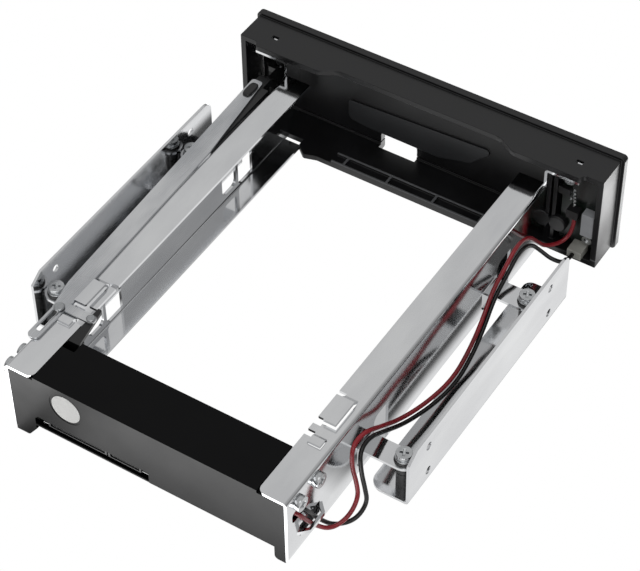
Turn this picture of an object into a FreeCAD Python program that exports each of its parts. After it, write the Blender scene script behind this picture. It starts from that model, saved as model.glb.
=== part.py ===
"""Trayless drive cage for a 3.5 inch disk in a 5.25 inch bay.

Frame: millimetres, +X to the right seen from the front, +Y from the door to
the rear, +Z up. The origin is the centre of the base: halfway along the cage,
on its centre plane, at the height of the front bezel's lower edge.
"""
import FreeCAD, Part
import math
import os

os.makedirs("parts", exist_ok=True)

# Disk and bay
DRIVE_WIDTH = 101.6
DRIVE_HEIGHT = 26.1
DRIVE_LENGTH = 147.0
DRIVE_SIDE_GAP = 1.2
DRIVE_TOP_GAP = 0.6
DRIVE_FRONT_GAP = 7.0
DRIVE_REAR_GAP = 2.1
BAY_WIDTH = 146.0
BAY_SCREW_SETBACK = 47.4
BAY_SCREW_PITCH = 79.25
BAY_SCREW_LOW = 10.0
BAY_SCREW_ROWS = 11.84
BAY_SCREW_RADIUS = 1.5

# Front bezel
FLANGE_THICKNESS = 3.2
FLANGE_SIDE = 1.3
FLANGE_RISE = 1.0
BOX_HEIGHT = 40.8
BOX_DEPTH = 12.8
BEZEL_WALL = 2.2
SILL = 4.0
JAMB_GAP = 2.0
RIB = 1.5
RIB_DEPTH = 2.4
RIB_DROP = 0.6
ROOF_RIBS_X = (-33.0, 25.5)
HOOD_DEPTH = 2.2
HOOD_OUTER = 12.0
HOOD_INNER = 14.0
ROOF_RECESS = 1.6
ROOF_STEP = 6.5
LIP_DEPTH = 5.0
LIP_CORNER = 1.5
LIP_INSET = 6.0
LIP_RIB = 0.8
LIP_RIB_HEIGHT = 1.0
LIP_RIBS_X = (-29.0, -10.0, 9.0, 27.0)
NOTCH_CENTRE_X = 14.0
NOTCH_WIDTH = 15.0
NOTCH_RISE = 4.5
CATCH_WIDTH = 2.4
CATCH_LENGTH = 1.6

# Rails, one millimetre stainless sheet
SHEET = 1.0
BEND = 0.5
RAIL_RISE = 1.1
TOP_FLANGE = 10.6
BOTTOM_FLANGE = 8.2
FLANGE_CORNER = 2.5
RAIL_FRONT_GAP = 1.7
FOOT_START = 5.0
FOOT_STOP = 10.0
EAR_REACH = 12.0
EAR_LENGTH = 8.4
EAR_FOOT = 6.0
EAR_CATCH_REACH = 8.3
EAR_CATCH_SETBACK = 5.0
WINDOW_HEIGHT = 16.5
WINDOW_LENGTH = 8.8
WINDOW_RISE = 1.7
WINDOW_GAP = 1.6
ARM_WIDTH = 8.2
ARM_RISE = 13.7
ARM_OFFSET = 5.9
ARM_HOLE_DEPTH = 10.0
ARM_SLIT = 0.2

# Lanced hold-down tabs and edge notches in the top flanges
TAB_INSET = 2.9
TAB_WIDTH = 4.5
TAB_SETBACK = 25.4
TAB_LENGTH = 12.9
TAB_RISE = 2.1
STOP_TAB_SETBACK = 7.3
STOP_TAB_LENGTH = 3.8
STOP_TAB_RISE = 1.0
TAB_SLIT = 0.2
EDGE_NOTCHES = ((26.5, 1.6), (14.3, 3.1), (8.5, 2.4))

# Lead hole and lead strap in the left rail
LEAD_HOLE_SETBACKS = (10.4, 2.8)
LEAD_HOLE_RISE = 16.3
LEAD_HOLE_HEIGHT = 4.6
LEAD_HOLE_ROUND = 1.5
STRAP_SETBACKS = (18.0, 6.7)
STRAP_RISE = 8.3
STRAP_WIDTH = 1.4
STRAP_BULGE = 3.0
STRAP_MARGIN = 2.0

# Side plates and rubber mounts
PLATE_RISE = 4.0
PLATE_HEIGHT = 22.0
PLATE_FLANGE = 15.0
PLATE_LEAD = 13.1
PLATE_TAIL = 12.15
MOUNT_INSET = 5.5
POST_RADIUS = 2.5
POST_THREAD = 1.25
POST_RIVET = 1.6
BUSH_FLANGE = 3.3
BUSH_BODY = 2.7
BUSH_NECK = 2.4
BUSH_BORE = 1.6
BUSH_TOP = 0.9
BUSH_LOW = 4.3
WASHER_RADIUS = 3.0
WASHER_BORE = 1.45
WASHER_THICKNESS = 0.5
NECK_GAP = 0.1

# Backplane housing, board and connectors
HOUSING_DEPTH = 20.1
HOUSING_RISE = 4.9
HOUSING_WALL = 2.0
HOUSING_GAP = 0.1
HOUSING_CHAMFER = 0.6
FOOT_DROP = 6.6
FOOT_LENGTH = 9.5
BOSS_RADIUS = 2.8
BOARD_RISE = 0.4
BOARD_THICKNESS = 1.6
BOARD_GAP = 0.3
CONTACT_PITCH = 1.27
DATA_WAYS = 7
POWER_WAYS = 15
SOCKET_CENTRE_X = 20.7
SOCKET_ENDS = 4.4
SOCKET_GAP = 8.0
SOCKET_SLOT_END = 2.2
SOCKET_HEIGHT = 7.4
SOCKET_DEPTH = 9.0
SOCKET_DROP = 3.0
SOCKET_STAND = 2.0
SLOT_DEPTH = 5.5
PLUG_ENDS = 2.6
PLUG_DEPTH = 8.0
PLUG_INSET = 0.6
POWER_CENTRE_X = 27.1
DATA_CENTRE_X = 8.7
REAR_SLOT_MARGINS = (9.7, 16.4)
REAR_SLOT_HEIGHT = 4.8
HEADER_INSET = 7.7
HEADER_SETBACK = 6.8
HEADER_LENGTH = 7.2
HEADER_WIDTH = 4.8
HEADER_HEIGHT = 2.0
STICKER_X = 29.9
STICKER_DROP = 7.7
STICKER_RADIUS = 6.2
STICKER_THICKNESS = 0.15

# Fasteners
SCREW_HEAD = 2.7
SCREW_HEAD_HEIGHT = 2.0
SMALL_HEAD = 1.9
SMALL_HEAD_HEIGHT = 1.3
RECESS_WIDTH = 0.8
SIDE_SCREW_SHANK = 1.4
SIDE_SCREW_LENGTH = 8.0
SIDE_SCREW_DROP = 4.6
LEFT_SCREW_SETBACKS = (16.5, 6.0)
RIGHT_SCREW_SETBACKS = (10.5, 4.0)
BOARD_SCREW_SHANK = 1.1
BOARD_SCREW_LENGTH = 6.0
CONTROL_SCREW_SHANK = 0.9
CONTROL_SCREW_LENGTH = 4.5

# Door and lock slide
DOOR_GAP = 0.4
DOOR_THICKNESS = 3.0
DOOR_SKIN = 0.8
BARREL_RADIUS = 4.2
HINGE_PIN = 1.0
PIN_INSET = 0.6
RUNNING_GAP = 0.05
MOVING_GAP = 0.3
RELIEF_DEPTH = 0.8
RELIEF_OUTLINE = (
    (35.0, 14.8, 1.5), (35.0, 6.0, 2.5), (27.0, 4.9, 4.0), (-2.6, 4.7, 5.0), (-16.0, 8.4, 4.0),
    (-25.5, 18.0, 1.5),
)
RIM_WIDTH = 1.2
LOCK_X = (-34.0, 4.0)
LOCK_TONGUES_X = ((-30.0, -24.0), (-8.0, -2.0))
LOCK_THICKNESS = 1.0
LOCK_HEIGHT = 9.0
LOCK_TONGUE = 2.4
TONGUE_INSET = 0.2
LOCK_TRAVEL = 2.0
THUMB_X = (-25.0, -5.0)
THUMB_RISE = 3.0
THUMB_HEIGHT = 4.0

# Front controls
BUTTON_INSET = 7.8
BUTTON_RISE = 11.8
BUTTON_RADIUS = 3.4
BUTTON_COLLAR = 1.0
BUTTON_TRAVEL = 1.0
BUTTON_LENGTH = 4.4
LAMP_RISE = 25.8
LAMP_RADIUS = 1.5
LAMP_GUIDE = 5.2
CONTROL_DEPTH = 7.2
CONTROL_THICKNESS = 1.2
CONTROL_BOSS = 2.0
LEAD_PLUG_SIZE = (5.4, 6.0, 3.4)
TERMINAL_SIZE = (4.6, 3.6, 10.0)
BOARD_SOCKET_SIZE = (4.4, 3.4, 3.6)

# Ejector
CRANK = 5.0
CRANK_PIN = 1.2
CRANK_DROP = 9.5
CRANK_THICKNESS = 2.2
CRANK_END = 2.5
PULL_THICKNESS = 2.4
PULL_SIDE = 3.3
PULL_SLOT = 3.5
PULL_BAR_GAP = 0.4
PULL_BAR_SETBACKS = (28.0, 64.0)
PULL_BAR_TIP = 2.4
LINK_INSET = 7.9
LINK_SETBACK = 17.0
STRIP_THICKNESS = 0.8
STRIP_RISE = 0.1
STRIP_WIDTH = 5.8
STRIP_NOSE = 4.4
STRIP_WAIST = 0.4
STRIP_WAIST_Y = -24.0
STRIP_START = 10.0
STRIP_BEND = 18.9
STRIP_EYE = 7.1
CROSS_ARM = 3.5
CROSS_ARM_SETBACK = 11.2
PUSHER_TIP_SETBACK = 14.9
PUSHER_LIFT = 0.2
PUSHER_WIDTH = 4.4
CLAW_GAP = 0.4
CLAW_THICKNESS = 3.0
CLAW_RISE = 11.1
PUSHER_CLEARANCE = 0.6
RIVET_RADIUS = 1.0
GUIDE_INSET = 0.55
GUIDE_SETBACK = 8.0
GUIDE_HEAD = 1.9

# Twin lead, two round leads of 1.5 mm
LEAD_RADIUS = 0.75
LEAD_SIDES = 6

# Planes worked out from the sizes above
DOOR_DEPTH = DOOR_THICKNESS + RELIEF_DEPTH
OVERALL_LENGTH = DOOR_DEPTH + DRIVE_FRONT_GAP + DRIVE_LENGTH + DRIVE_REAR_GAP + HOUSING_DEPTH
FRONT_Y = -OVERALL_LENGTH / 2
REAR_Y = OVERALL_LENGTH / 2
SEAT_Y = FRONT_Y + FLANGE_THICKNESS
BOX_Y = SEAT_Y + BOX_DEPTH
BOX_LOW = FLANGE_RISE
BOX_TOP = BOX_LOW + BOX_HEIGHT
FLANGE_HEIGHT = BOX_TOP + FLANGE_RISE
BOX_X = BAY_WIDTH / 2
BOX_IN = BOX_X - BEZEL_WALL
FLANGE_X = BOX_X + FLANGE_SIDE
FLOOR_Z = BOX_LOW + BEZEL_WALL
ROOF_Z = BOX_TOP - BEZEL_WALL
DOOR_TOP_Z = FLANGE_HEIGHT - SILL
NOTCH_X = (NOTCH_CENTRE_X - NOTCH_WIDTH / 2, NOTCH_CENTRE_X + NOTCH_WIDTH / 2)

RAIL_IN = DRIVE_WIDTH / 2 + DRIVE_SIDE_GAP
RAIL_OUT = RAIL_IN + SHEET
RAIL_FOOT = FLOOR_Z + RAIL_RISE
DRIVE_LOW = RAIL_FOOT + SHEET
DRIVE_TOP = DRIVE_LOW + DRIVE_HEIGHT
RAIL_UNDER = DRIVE_TOP + DRIVE_TOP_GAP
RAIL_TOP = RAIL_UNDER + SHEET
RAIL_FRONT = BOX_Y + RAIL_FRONT_GAP
FLANGE_EDGE = RAIL_OUT - TOP_FLANGE
FOOT_EDGE = RAIL_OUT - BOTTOM_FLANGE
EAR_CATCH_X = RAIL_OUT + EAR_CATCH_REACH
EAR_CATCH_Y = BOX_Y - EAR_CATCH_SETBACK
JAMB_X = -(RAIL_OUT + JAMB_GAP)
WINDOW_LOW = RAIL_FOOT + WINDOW_RISE
ARM_TOP = RAIL_FOOT + ARM_RISE
ARM_LOW = ARM_TOP - SHEET
HOUSING_Y = REAR_Y - HOUSING_DEPTH
HOUSING_X = RAIL_IN - HOUSING_GAP
HOUSING_LOW = RAIL_FOOT + HOUSING_RISE
DRIVE_REAR = HOUSING_Y - DRIVE_REAR_GAP
TAB_INNER = FLANGE_EDGE + TAB_INSET
TAB_FRONT = HOUSING_Y - TAB_SETBACK
STOP_TAB_FRONT = HOUSING_Y - STOP_TAB_SETBACK
STRAP_Y = tuple(REAR_Y - setback for setback in STRAP_SETBACKS)
STRAP_LOW = RAIL_FOOT + STRAP_RISE
LEAD_HOLE_Y = tuple(REAR_Y - setback for setback in LEAD_HOLE_SETBACKS)
LEAD_HOLE_LOW = RAIL_FOOT + LEAD_HOLE_RISE

PLATE_LOW = BOX_LOW + PLATE_RISE
MOUNT_X = BOX_X - MOUNT_INSET
BAY_SCREWS_Y = (SEAT_Y + BAY_SCREW_SETBACK, SEAT_Y + BAY_SCREW_SETBACK + BAY_SCREW_PITCH)
ARMS_Y = tuple(y + ARM_OFFSET for y in BAY_SCREWS_Y)
BUSH_SEAT = ARM_TOP + BUSH_TOP

BOARD_LOW = HOUSING_LOW + BOARD_RISE
BOARD_TOP = BOARD_LOW + BOARD_THICKNESS
BOARD_X = HOUSING_X - HOUSING_WALL - BOARD_GAP
BOARD_Y = (HOUSING_Y + HOUSING_WALL + BOARD_GAP, REAR_Y - HOUSING_WALL - BOARD_GAP)
BOARD_SCREWS = ((7.9 - HOUSING_X, REAR_Y - 14.0), (-10.0, REAR_Y - 10.0), (HOUSING_X - 5.9, REAR_Y - 6.0))
DATA_SPAN = (DATA_WAYS - 1) * CONTACT_PITCH
POWER_SPAN = (POWER_WAYS - 1) * CONTACT_PITCH
SOCKET_WIDTH = 2 * SOCKET_ENDS + DATA_SPAN + SOCKET_GAP + POWER_SPAN
SOCKET_X = (SOCKET_CENTRE_X - SOCKET_WIDTH / 2, SOCKET_CENTRE_X + SOCKET_WIDTH / 2)
SOCKET_LOW = BOARD_LOW - SOCKET_DROP
SOCKET_TOP = SOCKET_LOW + SOCKET_HEIGHT
SOCKET_MIDDLE = (SOCKET_LOW + SOCKET_TOP) / 2
SOCKET_FRONT = HOUSING_Y - SOCKET_STAND
SOCKET_STARTS = (SOCKET_X[0] + SOCKET_ENDS, SOCKET_X[0] + SOCKET_ENDS + DATA_SPAN + SOCKET_GAP)
REAR_SLOT_TOP = HOUSING_LOW + REAR_SLOT_HEIGHT
REAR_SLOT_X = (DATA_CENTRE_X - REAR_SLOT_MARGINS[0], POWER_CENTRE_X + REAR_SLOT_MARGINS[1])
HEADER_X = HEADER_INSET - HOUSING_X
HEADER_Y = REAR_Y - HEADER_SETBACK
SIDE_SCREW_Z = RAIL_TOP - SIDE_SCREW_DROP
LEFT_SCREWS_Y = tuple(REAR_Y - setback for setback in LEFT_SCREW_SETBACKS)
RIGHT_SCREWS_Y = tuple(REAR_Y - setback for setback in RIGHT_SCREW_SETBACKS)
STICKER_Z = RAIL_TOP - STICKER_DROP

HINGE_X = BOX_IN - DOOR_GAP - BARREL_RADIUS
HINGE_Y = FRONT_Y + BARREL_RADIUS
DOOR_FREE_X = JAMB_X + DOOR_GAP
DOOR_LOW = SILL + DOOR_GAP
DOOR_TOP = DOOR_TOP_Z - DOOR_GAP
DOOR_BACK = FRONT_Y + DOOR_THICKNESS
PIN_LOW = BOX_LOW + PIN_INSET
PIN_TOP = BOX_TOP - PIN_INSET
LOCK_Y = FRONT_Y + DOOR_SKIN + MOVING_GAP
LOCK_BACK = LOCK_Y + LOCK_THICKNESS
TONGUE_LOW = DOOR_LOW + TONGUE_INSET
LOCK_LOW = TONGUE_LOW + LOCK_TONGUE
LOCK_TOP = LOCK_LOW + LOCK_HEIGHT
THUMB_LOW = LOCK_LOW + THUMB_RISE

STRIP_LOW = RAIL_TOP + STRIP_RISE
STRIP_TOP = STRIP_LOW + STRIP_THICKNESS
CRANK_LOW = STRIP_LOW - CRANK_DROP
CRANK_TOP = CRANK_LOW + CRANK_THICKNESS
CRANK_X = HINGE_X - CRANK
CRANK_Y = HINGE_Y + CRANK
CRANK_REACH = math.hypot(CRANK, CRANK)
CRANK_SEAT = CRANK_LOW + 0.6
PULL_LOW = CRANK_TOP + MOVING_GAP
PULL_TOP = PULL_LOW + PULL_THICKNESS
LINK_LOW = STRIP_LOW - 2.2
LINK_X = HINGE_X - LINK_INSET
LINK_Y = BOX_Y + LINK_SETBACK
PULL_BAR_Y = tuple(FRONT_Y + setback for setback in PULL_BAR_SETBACKS)
EJECT_TRAVEL = 2 * CRANK
CROSS_ARM_Y = HOUSING_Y - CROSS_ARM_SETBACK
PUSHER_PIN_X = FLANGE_EDGE - 1.5
PUSHER_PIN_Y = CROSS_ARM_Y + CROSS_ARM / 2
PUSHER_X = FLANGE_EDGE - PUSHER_WIDTH
PUSHER_TIP_Y = HOUSING_Y - PUSHER_TIP_SETBACK
PUSHER_LOW = DRIVE_TOP + PUSHER_LIFT
CLAW_Y = DRIVE_REAR + CLAW_GAP
CLAW_REAR = CLAW_Y + CLAW_THICKNESS
CLAW_LOW = DRIVE_LOW + CLAW_RISE
POCKET_X = PUSHER_X - PUSHER_CLEARANCE
POCKET_LOW = CLAW_LOW - PUSHER_CLEARANCE
POCKET_REAR = CLAW_REAR + DRIVE_REAR_GAP + 1.0
GUIDE_X = RAIL_OUT - GUIDE_INSET
GUIDE_Y = HOUSING_Y - GUIDE_SETBACK

BUTTON_X = BUTTON_INSET - BOX_IN
BUTTON_Z = FLOOR_Z + BUTTON_RISE
LAMP_Z = FLOOR_Z + LAMP_RISE
CONTROL_Y = SEAT_Y + CONTROL_DEPTH
CONTROL_REAR = CONTROL_Y + CONTROL_THICKNESS
CONTROL_SCREWS = ((JAMB_X - 4.0, ROOF_Z - 6.2), (3.2 - BOX_IN, FLOOR_Z + 5.8))

V = FreeCAD.Vector
PLANES = {
    "xy": (lambda u, v, w: V(u, v, w), V(0, 0, 1)),
    "xz": (lambda u, v, w: V(u, w, v), V(0, 1, 0)),
    "yz": (lambda u, v, w: V(w, u, v), V(1, 0, 0)),
}


def corner(points, i):
    """Start, middle and end of the rounding at one outline point, given as (u, v, radius)."""
    u, v = points[i][0], points[i][1]
    radius = points[i][2] if len(points[i]) > 2 else 0.0
    here = V(u, v, 0)
    if radius <= 0:
        return here, None, here
    back = points[i - 1]
    ahead = points[(i + 1) % len(points)]
    d1 = (V(back[0], back[1], 0) - here).normalize()
    d2 = (V(ahead[0], ahead[1], 0) - here).normalize()
    half = d1.getAngle(d2) / 2
    bisector = (d1 + d2).normalize()
    reach = radius / math.tan(half)
    middle = here + bisector * (radius / math.sin(half) - radius)
    return here + d1 * reach, middle, here + d2 * reach


def outline(points, plane, depth):
    """Closed wire of a flat outline with rounded corners, at one depth of a plane."""
    place = PLANES[plane][0]
    corners = [corner(points, i) for i in range(len(points))]
    edges = []
    for i, (start, middle, end) in enumerate(corners):
        a = place(start.x, start.y, depth)
        b = place(end.x, end.y, depth)
        if middle is not None:
            edges.append(Part.Arc(a, place(middle.x, middle.y, depth), b).toShape())
        following = corners[(i + 1) % len(corners)][0]
        c = place(following.x, following.y, depth)
        if b.distanceToPoint(c) > 1e-6:
            edges.append(Part.LineSegment(b, c).toShape())
    return Part.Wire(edges)


def prism(points, plane, low, high):
    """A flat outline with rounded corners, extruded between two planes."""
    return Part.Face(outline(points, plane, low)).extrude(PLANES[plane][1] * (high - low))


def rounded(u0, u1, v0, v1, radius):
    """Outline points of a rectangle with equal round corners."""
    return [(u0, v0, radius), (u1, v0, radius), (u1, v1, radius), (u0, v1, radius)]


def block(x0, x1, y0, y1, z0, z1):
    return Part.makeBox(x1 - x0, y1 - y0, z1 - z0, V(x0, y0, z0))


def rod(radius, x, y, z0, z1):
    return Part.makeCylinder(radius, z1 - z0, V(x, y, z0))


def rod_x(radius, x, y, z, length, side):
    return Part.makeCylinder(radius, length, V(x, y, z), V(side, 0, 0))


def rod_y(radius, x, y, z, length):
    return Part.makeCylinder(radius, length, V(x, y, z), V(0, 1, 0))


def turned(profile, x, y):
    """A profile of (radius, z) points turned about the vertical line through x, y."""
    solid = Part.Face(outline(profile, "xz", 0)).revolve(V(0, 0, 0), V(0, 0, 1), 360)
    solid.translate(V(x, y, 0))
    return solid


def join(shapes):
    return shapes[0].multiFuse(shapes[1:]).removeSplitter()


def mirrored(shape):
    return shape.mirror(V(0, 0, 0), V(1, 0, 0))


def placed(shape, axis, angle, x, y, z):
    copy = shape.copy()
    copy.rotate(V(0, 0, 0), axis, angle)
    copy.translate(V(x, y, z))
    return copy


def save(name, *shapes):
    """Writes one node: a single solid, or a group of separate equal solids."""
    shape = shapes[0] if len(shapes) == 1 else Part.Compound(list(shapes))
    shape.exportStep("parts/" + name + ".step")


def cross_screw(length, shank, head, height):
    """Screw with a cross recess, head up, seat at z = 0."""
    screw = turned([(0, -length), (shank, -length), (shank, 0), (head, 0), (head, height), (0, height)], 0, 0)
    reach = head * 0.6
    half = RECESS_WIDTH / 2
    slot = prism([(-reach, height + 0.1), (-half, height * 0.45), (half, height * 0.45),
                  (reach, height + 0.1)],
                 "xz", -half, half)
    return screw.cut(join([slot, placed(slot, V(0, 0, 1), 90, 0, 0, 0)]))


# Rails. Each is one bent sheet: wall, two flanges, front ear, lanced tabs and mount arms.
def raised_tab(front, length, rise):
    """A tongue cut on three sides in the top flange and pushed up, open to the rear."""
    ramp = rise + 0.3
    top = RAIL_UNDER + rise
    profile = [
        (front - 1.0, RAIL_UNDER), (front, RAIL_UNDER), (front + ramp, top), (front + length, top),
        (front + length, top + SHEET), (front + ramp - 0.4, top + SHEET), (front - 0.4, RAIL_TOP),
        (front - 1.0, RAIL_TOP),
    ]
    return prism(profile, "yz", TAB_INNER, TAB_INNER + TAB_WIDTH)


def tab_window(front, length):
    return block(TAB_INNER - TAB_SLIT, TAB_INNER + TAB_WIDTH + TAB_SLIT, front, front + length + TAB_SLIT,
                 RAIL_UNDER - 1, RAIL_TOP + 0.01)


def mount_arm(y):
    """The lanced arm that carries one rubber mount: bent out of the wall, round end, bush hole."""
    half = ARM_WIDTH / 2
    bent = prism([(RAIL_IN, ARM_TOP + 2), (RAIL_IN, ARM_LOW, BEND + SHEET), (MOUNT_X, ARM_LOW),
                  (MOUNT_X, ARM_TOP),
                  (RAIL_OUT, ARM_TOP, BEND), (RAIL_OUT, ARM_TOP + 2)], "xz", y - half, y + half)
    end = rod(half, MOUNT_X, y, ARM_LOW, ARM_TOP)
    return join([bent, end]).cut(rod(BUSH_NECK + NECK_GAP, MOUNT_X, y, ARM_LOW - 1, ARM_TOP + 1))


def arm_cuts(y):
    """The tall window in front of an arm and the hole that the arm itself leaves in the wall."""
    half = ARM_WIDTH / 2 + ARM_SLIT
    rear = y - ARM_WIDTH / 2 - WINDOW_GAP
    top = WINDOW_LOW + WINDOW_HEIGHT
    window = [(rear - WINDOW_LENGTH, WINDOW_LOW), (rear, WINDOW_LOW, 2.0), (rear, top, 3.0),
              (rear - WINDOW_LENGTH, top)]
    low = ARM_TOP - ARM_HOLE_DEPTH
    hole = [(y - half, low, 2.5), (y + half, low, 2.5), (y + half, ARM_TOP + 0.6), (y - half, ARM_TOP + 0.6)]
    return [prism(points, "yz", RAIL_IN - 1, RAIL_OUT + 1) for points in (window, hole)]


def rail():
    """The rail on the +X side before the details that only one side has."""
    bend_out = BEND + SHEET
    channel = prism([
        (FLANGE_EDGE, RAIL_UNDER), (FLANGE_EDGE, RAIL_TOP), (RAIL_OUT, RAIL_TOP, bend_out),
        (RAIL_OUT, RAIL_FOOT, bend_out), (FOOT_EDGE, RAIL_FOOT), (FOOT_EDGE, DRIVE_LOW),
        (RAIL_IN, DRIVE_LOW, BEND), (RAIL_IN, RAIL_UNDER, BEND),
    ], "xz", RAIL_FRONT, REAR_Y)
    ear_foot = DRIVE_LOW + EAR_FOOT
    ear_low = ROOF_Z - SHEET
    ear = prism([
        (RAIL_IN, ear_foot), (RAIL_IN, ROOF_Z, bend_out), (RAIL_OUT + EAR_REACH, ROOF_Z),
        (RAIL_OUT + EAR_REACH, ear_low), (RAIL_OUT, ear_low, BEND), (RAIL_OUT, ear_foot),
    ], "xz", RAIL_FRONT - EAR_LENGTH, RAIL_FRONT + 0.5)
    catch = prism([(EAR_CATCH_Y - 0.6, ROOF_Z - 0.2), (EAR_CATCH_Y - 0.6, ROOF_Z + 1.2),
                   (EAR_CATCH_Y + 0.6, ROOF_Z + 0.3), (EAR_CATCH_Y + 0.6, ROOF_Z - 0.2)],
                  "yz", EAR_CATCH_X - 1, EAR_CATCH_X + 1)
    cuts = []
    for y0, y1 in ((RAIL_FRONT - 1, BOX_Y + FOOT_START), (REAR_Y - FOOT_STOP, REAR_Y + 1)):
        cuts.append(block(FOOT_EDGE - 1, RAIL_IN, y0, y1, RAIL_FOOT - 1, DRIVE_LOW + BEND))
    for y in ARMS_Y:
        cuts += arm_cuts(y)
    for setback, length in EDGE_NOTCHES:
        y0 = HOUSING_Y - setback
        cuts.append(block(FLANGE_EDGE - 1, TAB_INNER - TAB_SLIT, y0, y0 + length, RAIL_UNDER - 1,
                          RAIL_TOP + 0.01))
    inset = FLANGE_EDGE + FLANGE_CORNER
    behind = REAR_Y - FLANGE_CORNER
    square = block(FLANGE_EDGE - 1, inset, behind, REAR_Y + 1, RAIL_UNDER - 1, RAIL_TOP + 1)
    cuts.append(square.cut(rod(FLANGE_CORNER, inset, behind, RAIL_UNDER - 2, RAIL_TOP + 2)))
    cuts.append(tab_window(TAB_FRONT, TAB_LENGTH))
    cuts.append(tab_window(STOP_TAB_FRONT, STOP_TAB_LENGTH))
    sheet = join([channel, ear, catch]).cut(join(cuts))
    tabs = [raised_tab(TAB_FRONT, TAB_LENGTH, TAB_RISE),
            raised_tab(STOP_TAB_FRONT, STOP_TAB_LENGTH, STOP_TAB_RISE)]
    return join([sheet] + tabs + [mount_arm(y) for y in ARMS_Y])


def lead_strap():
    """Lanced bridge on the left wall that holds the twin lead: bowed outward, both ends in the sheet."""
    y0, y1 = STRAP_Y
    out = -RAIL_OUT - STRAP_BULGE
    path = [
        (-RAIL_IN, y0 - 1.5), (-RAIL_OUT, y0 - 1.5), (out, y0 + 1.6, 0.8), (out, y1 - 1.6, 0.8),
        (-RAIL_OUT, y1 + 1.5), (-RAIL_IN, y1 + 1.5), (-RAIL_IN, y1 + 0.6), (out + SHEET, y1 - 2.1),
        (out + SHEET, y0 + 2.1), (-RAIL_IN, y0 - 0.6),
    ]
    return prism(path, "xy", STRAP_LOW, STRAP_LOW + STRAP_WIDTH)


def lead_hole(x0, x1):
    """The rounded hole that the leads pass through, in the left rail and in the housing behind it."""
    low = LEAD_HOLE_LOW
    return prism(rounded(LEAD_HOLE_Y[0], LEAD_HOLE_Y[1], low, low + LEAD_HOLE_HEIGHT, LEAD_HOLE_ROUND), "yz",
                 x0, x1)


def left_rail():
    window = block(-RAIL_OUT - 1, -RAIL_IN + 1, STRAP_Y[0], STRAP_Y[1], STRAP_LOW - STRAP_MARGIN,
                   STRAP_LOW + STRAP_WIDTH + STRAP_MARGIN)
    holes = [rod_x(SIDE_SCREW_SHANK + 0.1, -RAIL_IN + 1.5, y, SIDE_SCREW_Z, 4, -1) for y in LEFT_SCREWS_Y]
    base = mirrored(rail()).cut(join([window, lead_hole(-RAIL_OUT - 1, -RAIL_IN + 1)] + holes))
    return join([base, lead_strap()])


def right_rail():
    holes = [rod_x(SIDE_SCREW_SHANK + 0.1, RAIL_IN - 1.5, y, SIDE_SCREW_Z, 4, 1) for y in RIGHT_SCREWS_Y]
    return rail().cut(join([rod(RIVET_RADIUS, GUIDE_X, GUIDE_Y, RAIL_UNDER, RAIL_TOP + 1)] + holes))


# Side plates, posts and rubber mounts
def side_plate():
    """Bay plate on the +X side: screw wall with an inward foot flange."""
    inner = BOX_X - SHEET
    edge = BOX_X - PLATE_FLANGE
    top = PLATE_LOW + PLATE_HEIGHT
    y0 = BAY_SCREWS_Y[0] - PLATE_LEAD
    y1 = BAY_SCREWS_Y[1] + PLATE_TAIL
    plate = prism([
        (BOX_X, top), (BOX_X, PLATE_LOW, BEND + SHEET), (edge, PLATE_LOW), (edge, PLATE_LOW + SHEET),
        (inner, PLATE_LOW + SHEET, BEND), (inner, top),
    ], "xz", y0, y1)
    wall = prism([(y0, 0), (y0, top, 4.0), (y1 - 5.0, top), (y1, top - 3.2), (y1, 0)], "yz", edge - 1,
                 BOX_X + 1)
    foot = prism([(BOX_X + 1, y0), (BOX_X + 1, y1), (edge, y1, 5.0), (edge, y0, 3.0)], "xy", 0, top + 1)
    holes = []
    for y in BAY_SCREWS_Y:
        for z in (BAY_SCREW_LOW, BAY_SCREW_LOW + BAY_SCREW_ROWS):
            holes.append(rod_x(BAY_SCREW_RADIUS, inner - 1, y, z, 4, 1))
    holes += [rod(POST_RIVET, MOUNT_X, y, PLATE_LOW - 1, PLATE_LOW + SHEET + 1) for y in ARMS_Y]
    return plate.common(wall).common(foot).cut(join(holes))


def post(x, y):
    """Threaded post riveted in the plate's foot flange."""
    base = PLATE_LOW + SHEET
    top = ARM_LOW - BUSH_LOW
    return turned([(POST_THREAD, PLATE_LOW), (POST_RIVET, PLATE_LOW), (POST_RIVET, base), (POST_RADIUS, base),
                   (POST_RADIUS, top), (POST_THREAD, top)], x, y)


def bush(x, y):
    """Rubber bush with a groove that holds the arm."""
    return turned([
        (BUSH_BORE, ARM_LOW - BUSH_LOW), (BUSH_BODY - 0.3, ARM_LOW - BUSH_LOW), (BUSH_BODY + 0.2, ARM_LOW),
        (BUSH_NECK, ARM_LOW), (BUSH_NECK, ARM_TOP), (BUSH_FLANGE, ARM_TOP), (BUSH_FLANGE - 0.2, BUSH_SEAT),
        (BUSH_BORE, BUSH_SEAT),
    ], x, y)


def washer(x, y):
    top = BUSH_SEAT + WASHER_THICKNESS
    return turned([(WASHER_BORE, BUSH_SEAT), (WASHER_RADIUS, BUSH_SEAT), (WASHER_RADIUS, top),
                   (WASHER_BORE, top)], x, y)


def mount_screw(x, y):
    seat = BUSH_SEAT + WASHER_THICKNESS
    screw = cross_screw(seat - PLATE_LOW - 1.5, POST_THREAD, SCREW_HEAD, SCREW_HEAD_HEIGHT)
    return placed(screw, V(0, 0, 1), 20, x, y, seat)


def mounts():
    """One copy of each mount piece at each of the four arms."""
    places = [(side * MOUNT_X, y) for side in (1, -1) for y in ARMS_Y]
    makers = {"mount_posts": post, "rubber_bushes": bush, "mount_washers": washer,
              "mount_screws": mount_screw}
    for name, make in makers.items():
        save(name, *[make(x, y) for x, y in places])


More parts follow.
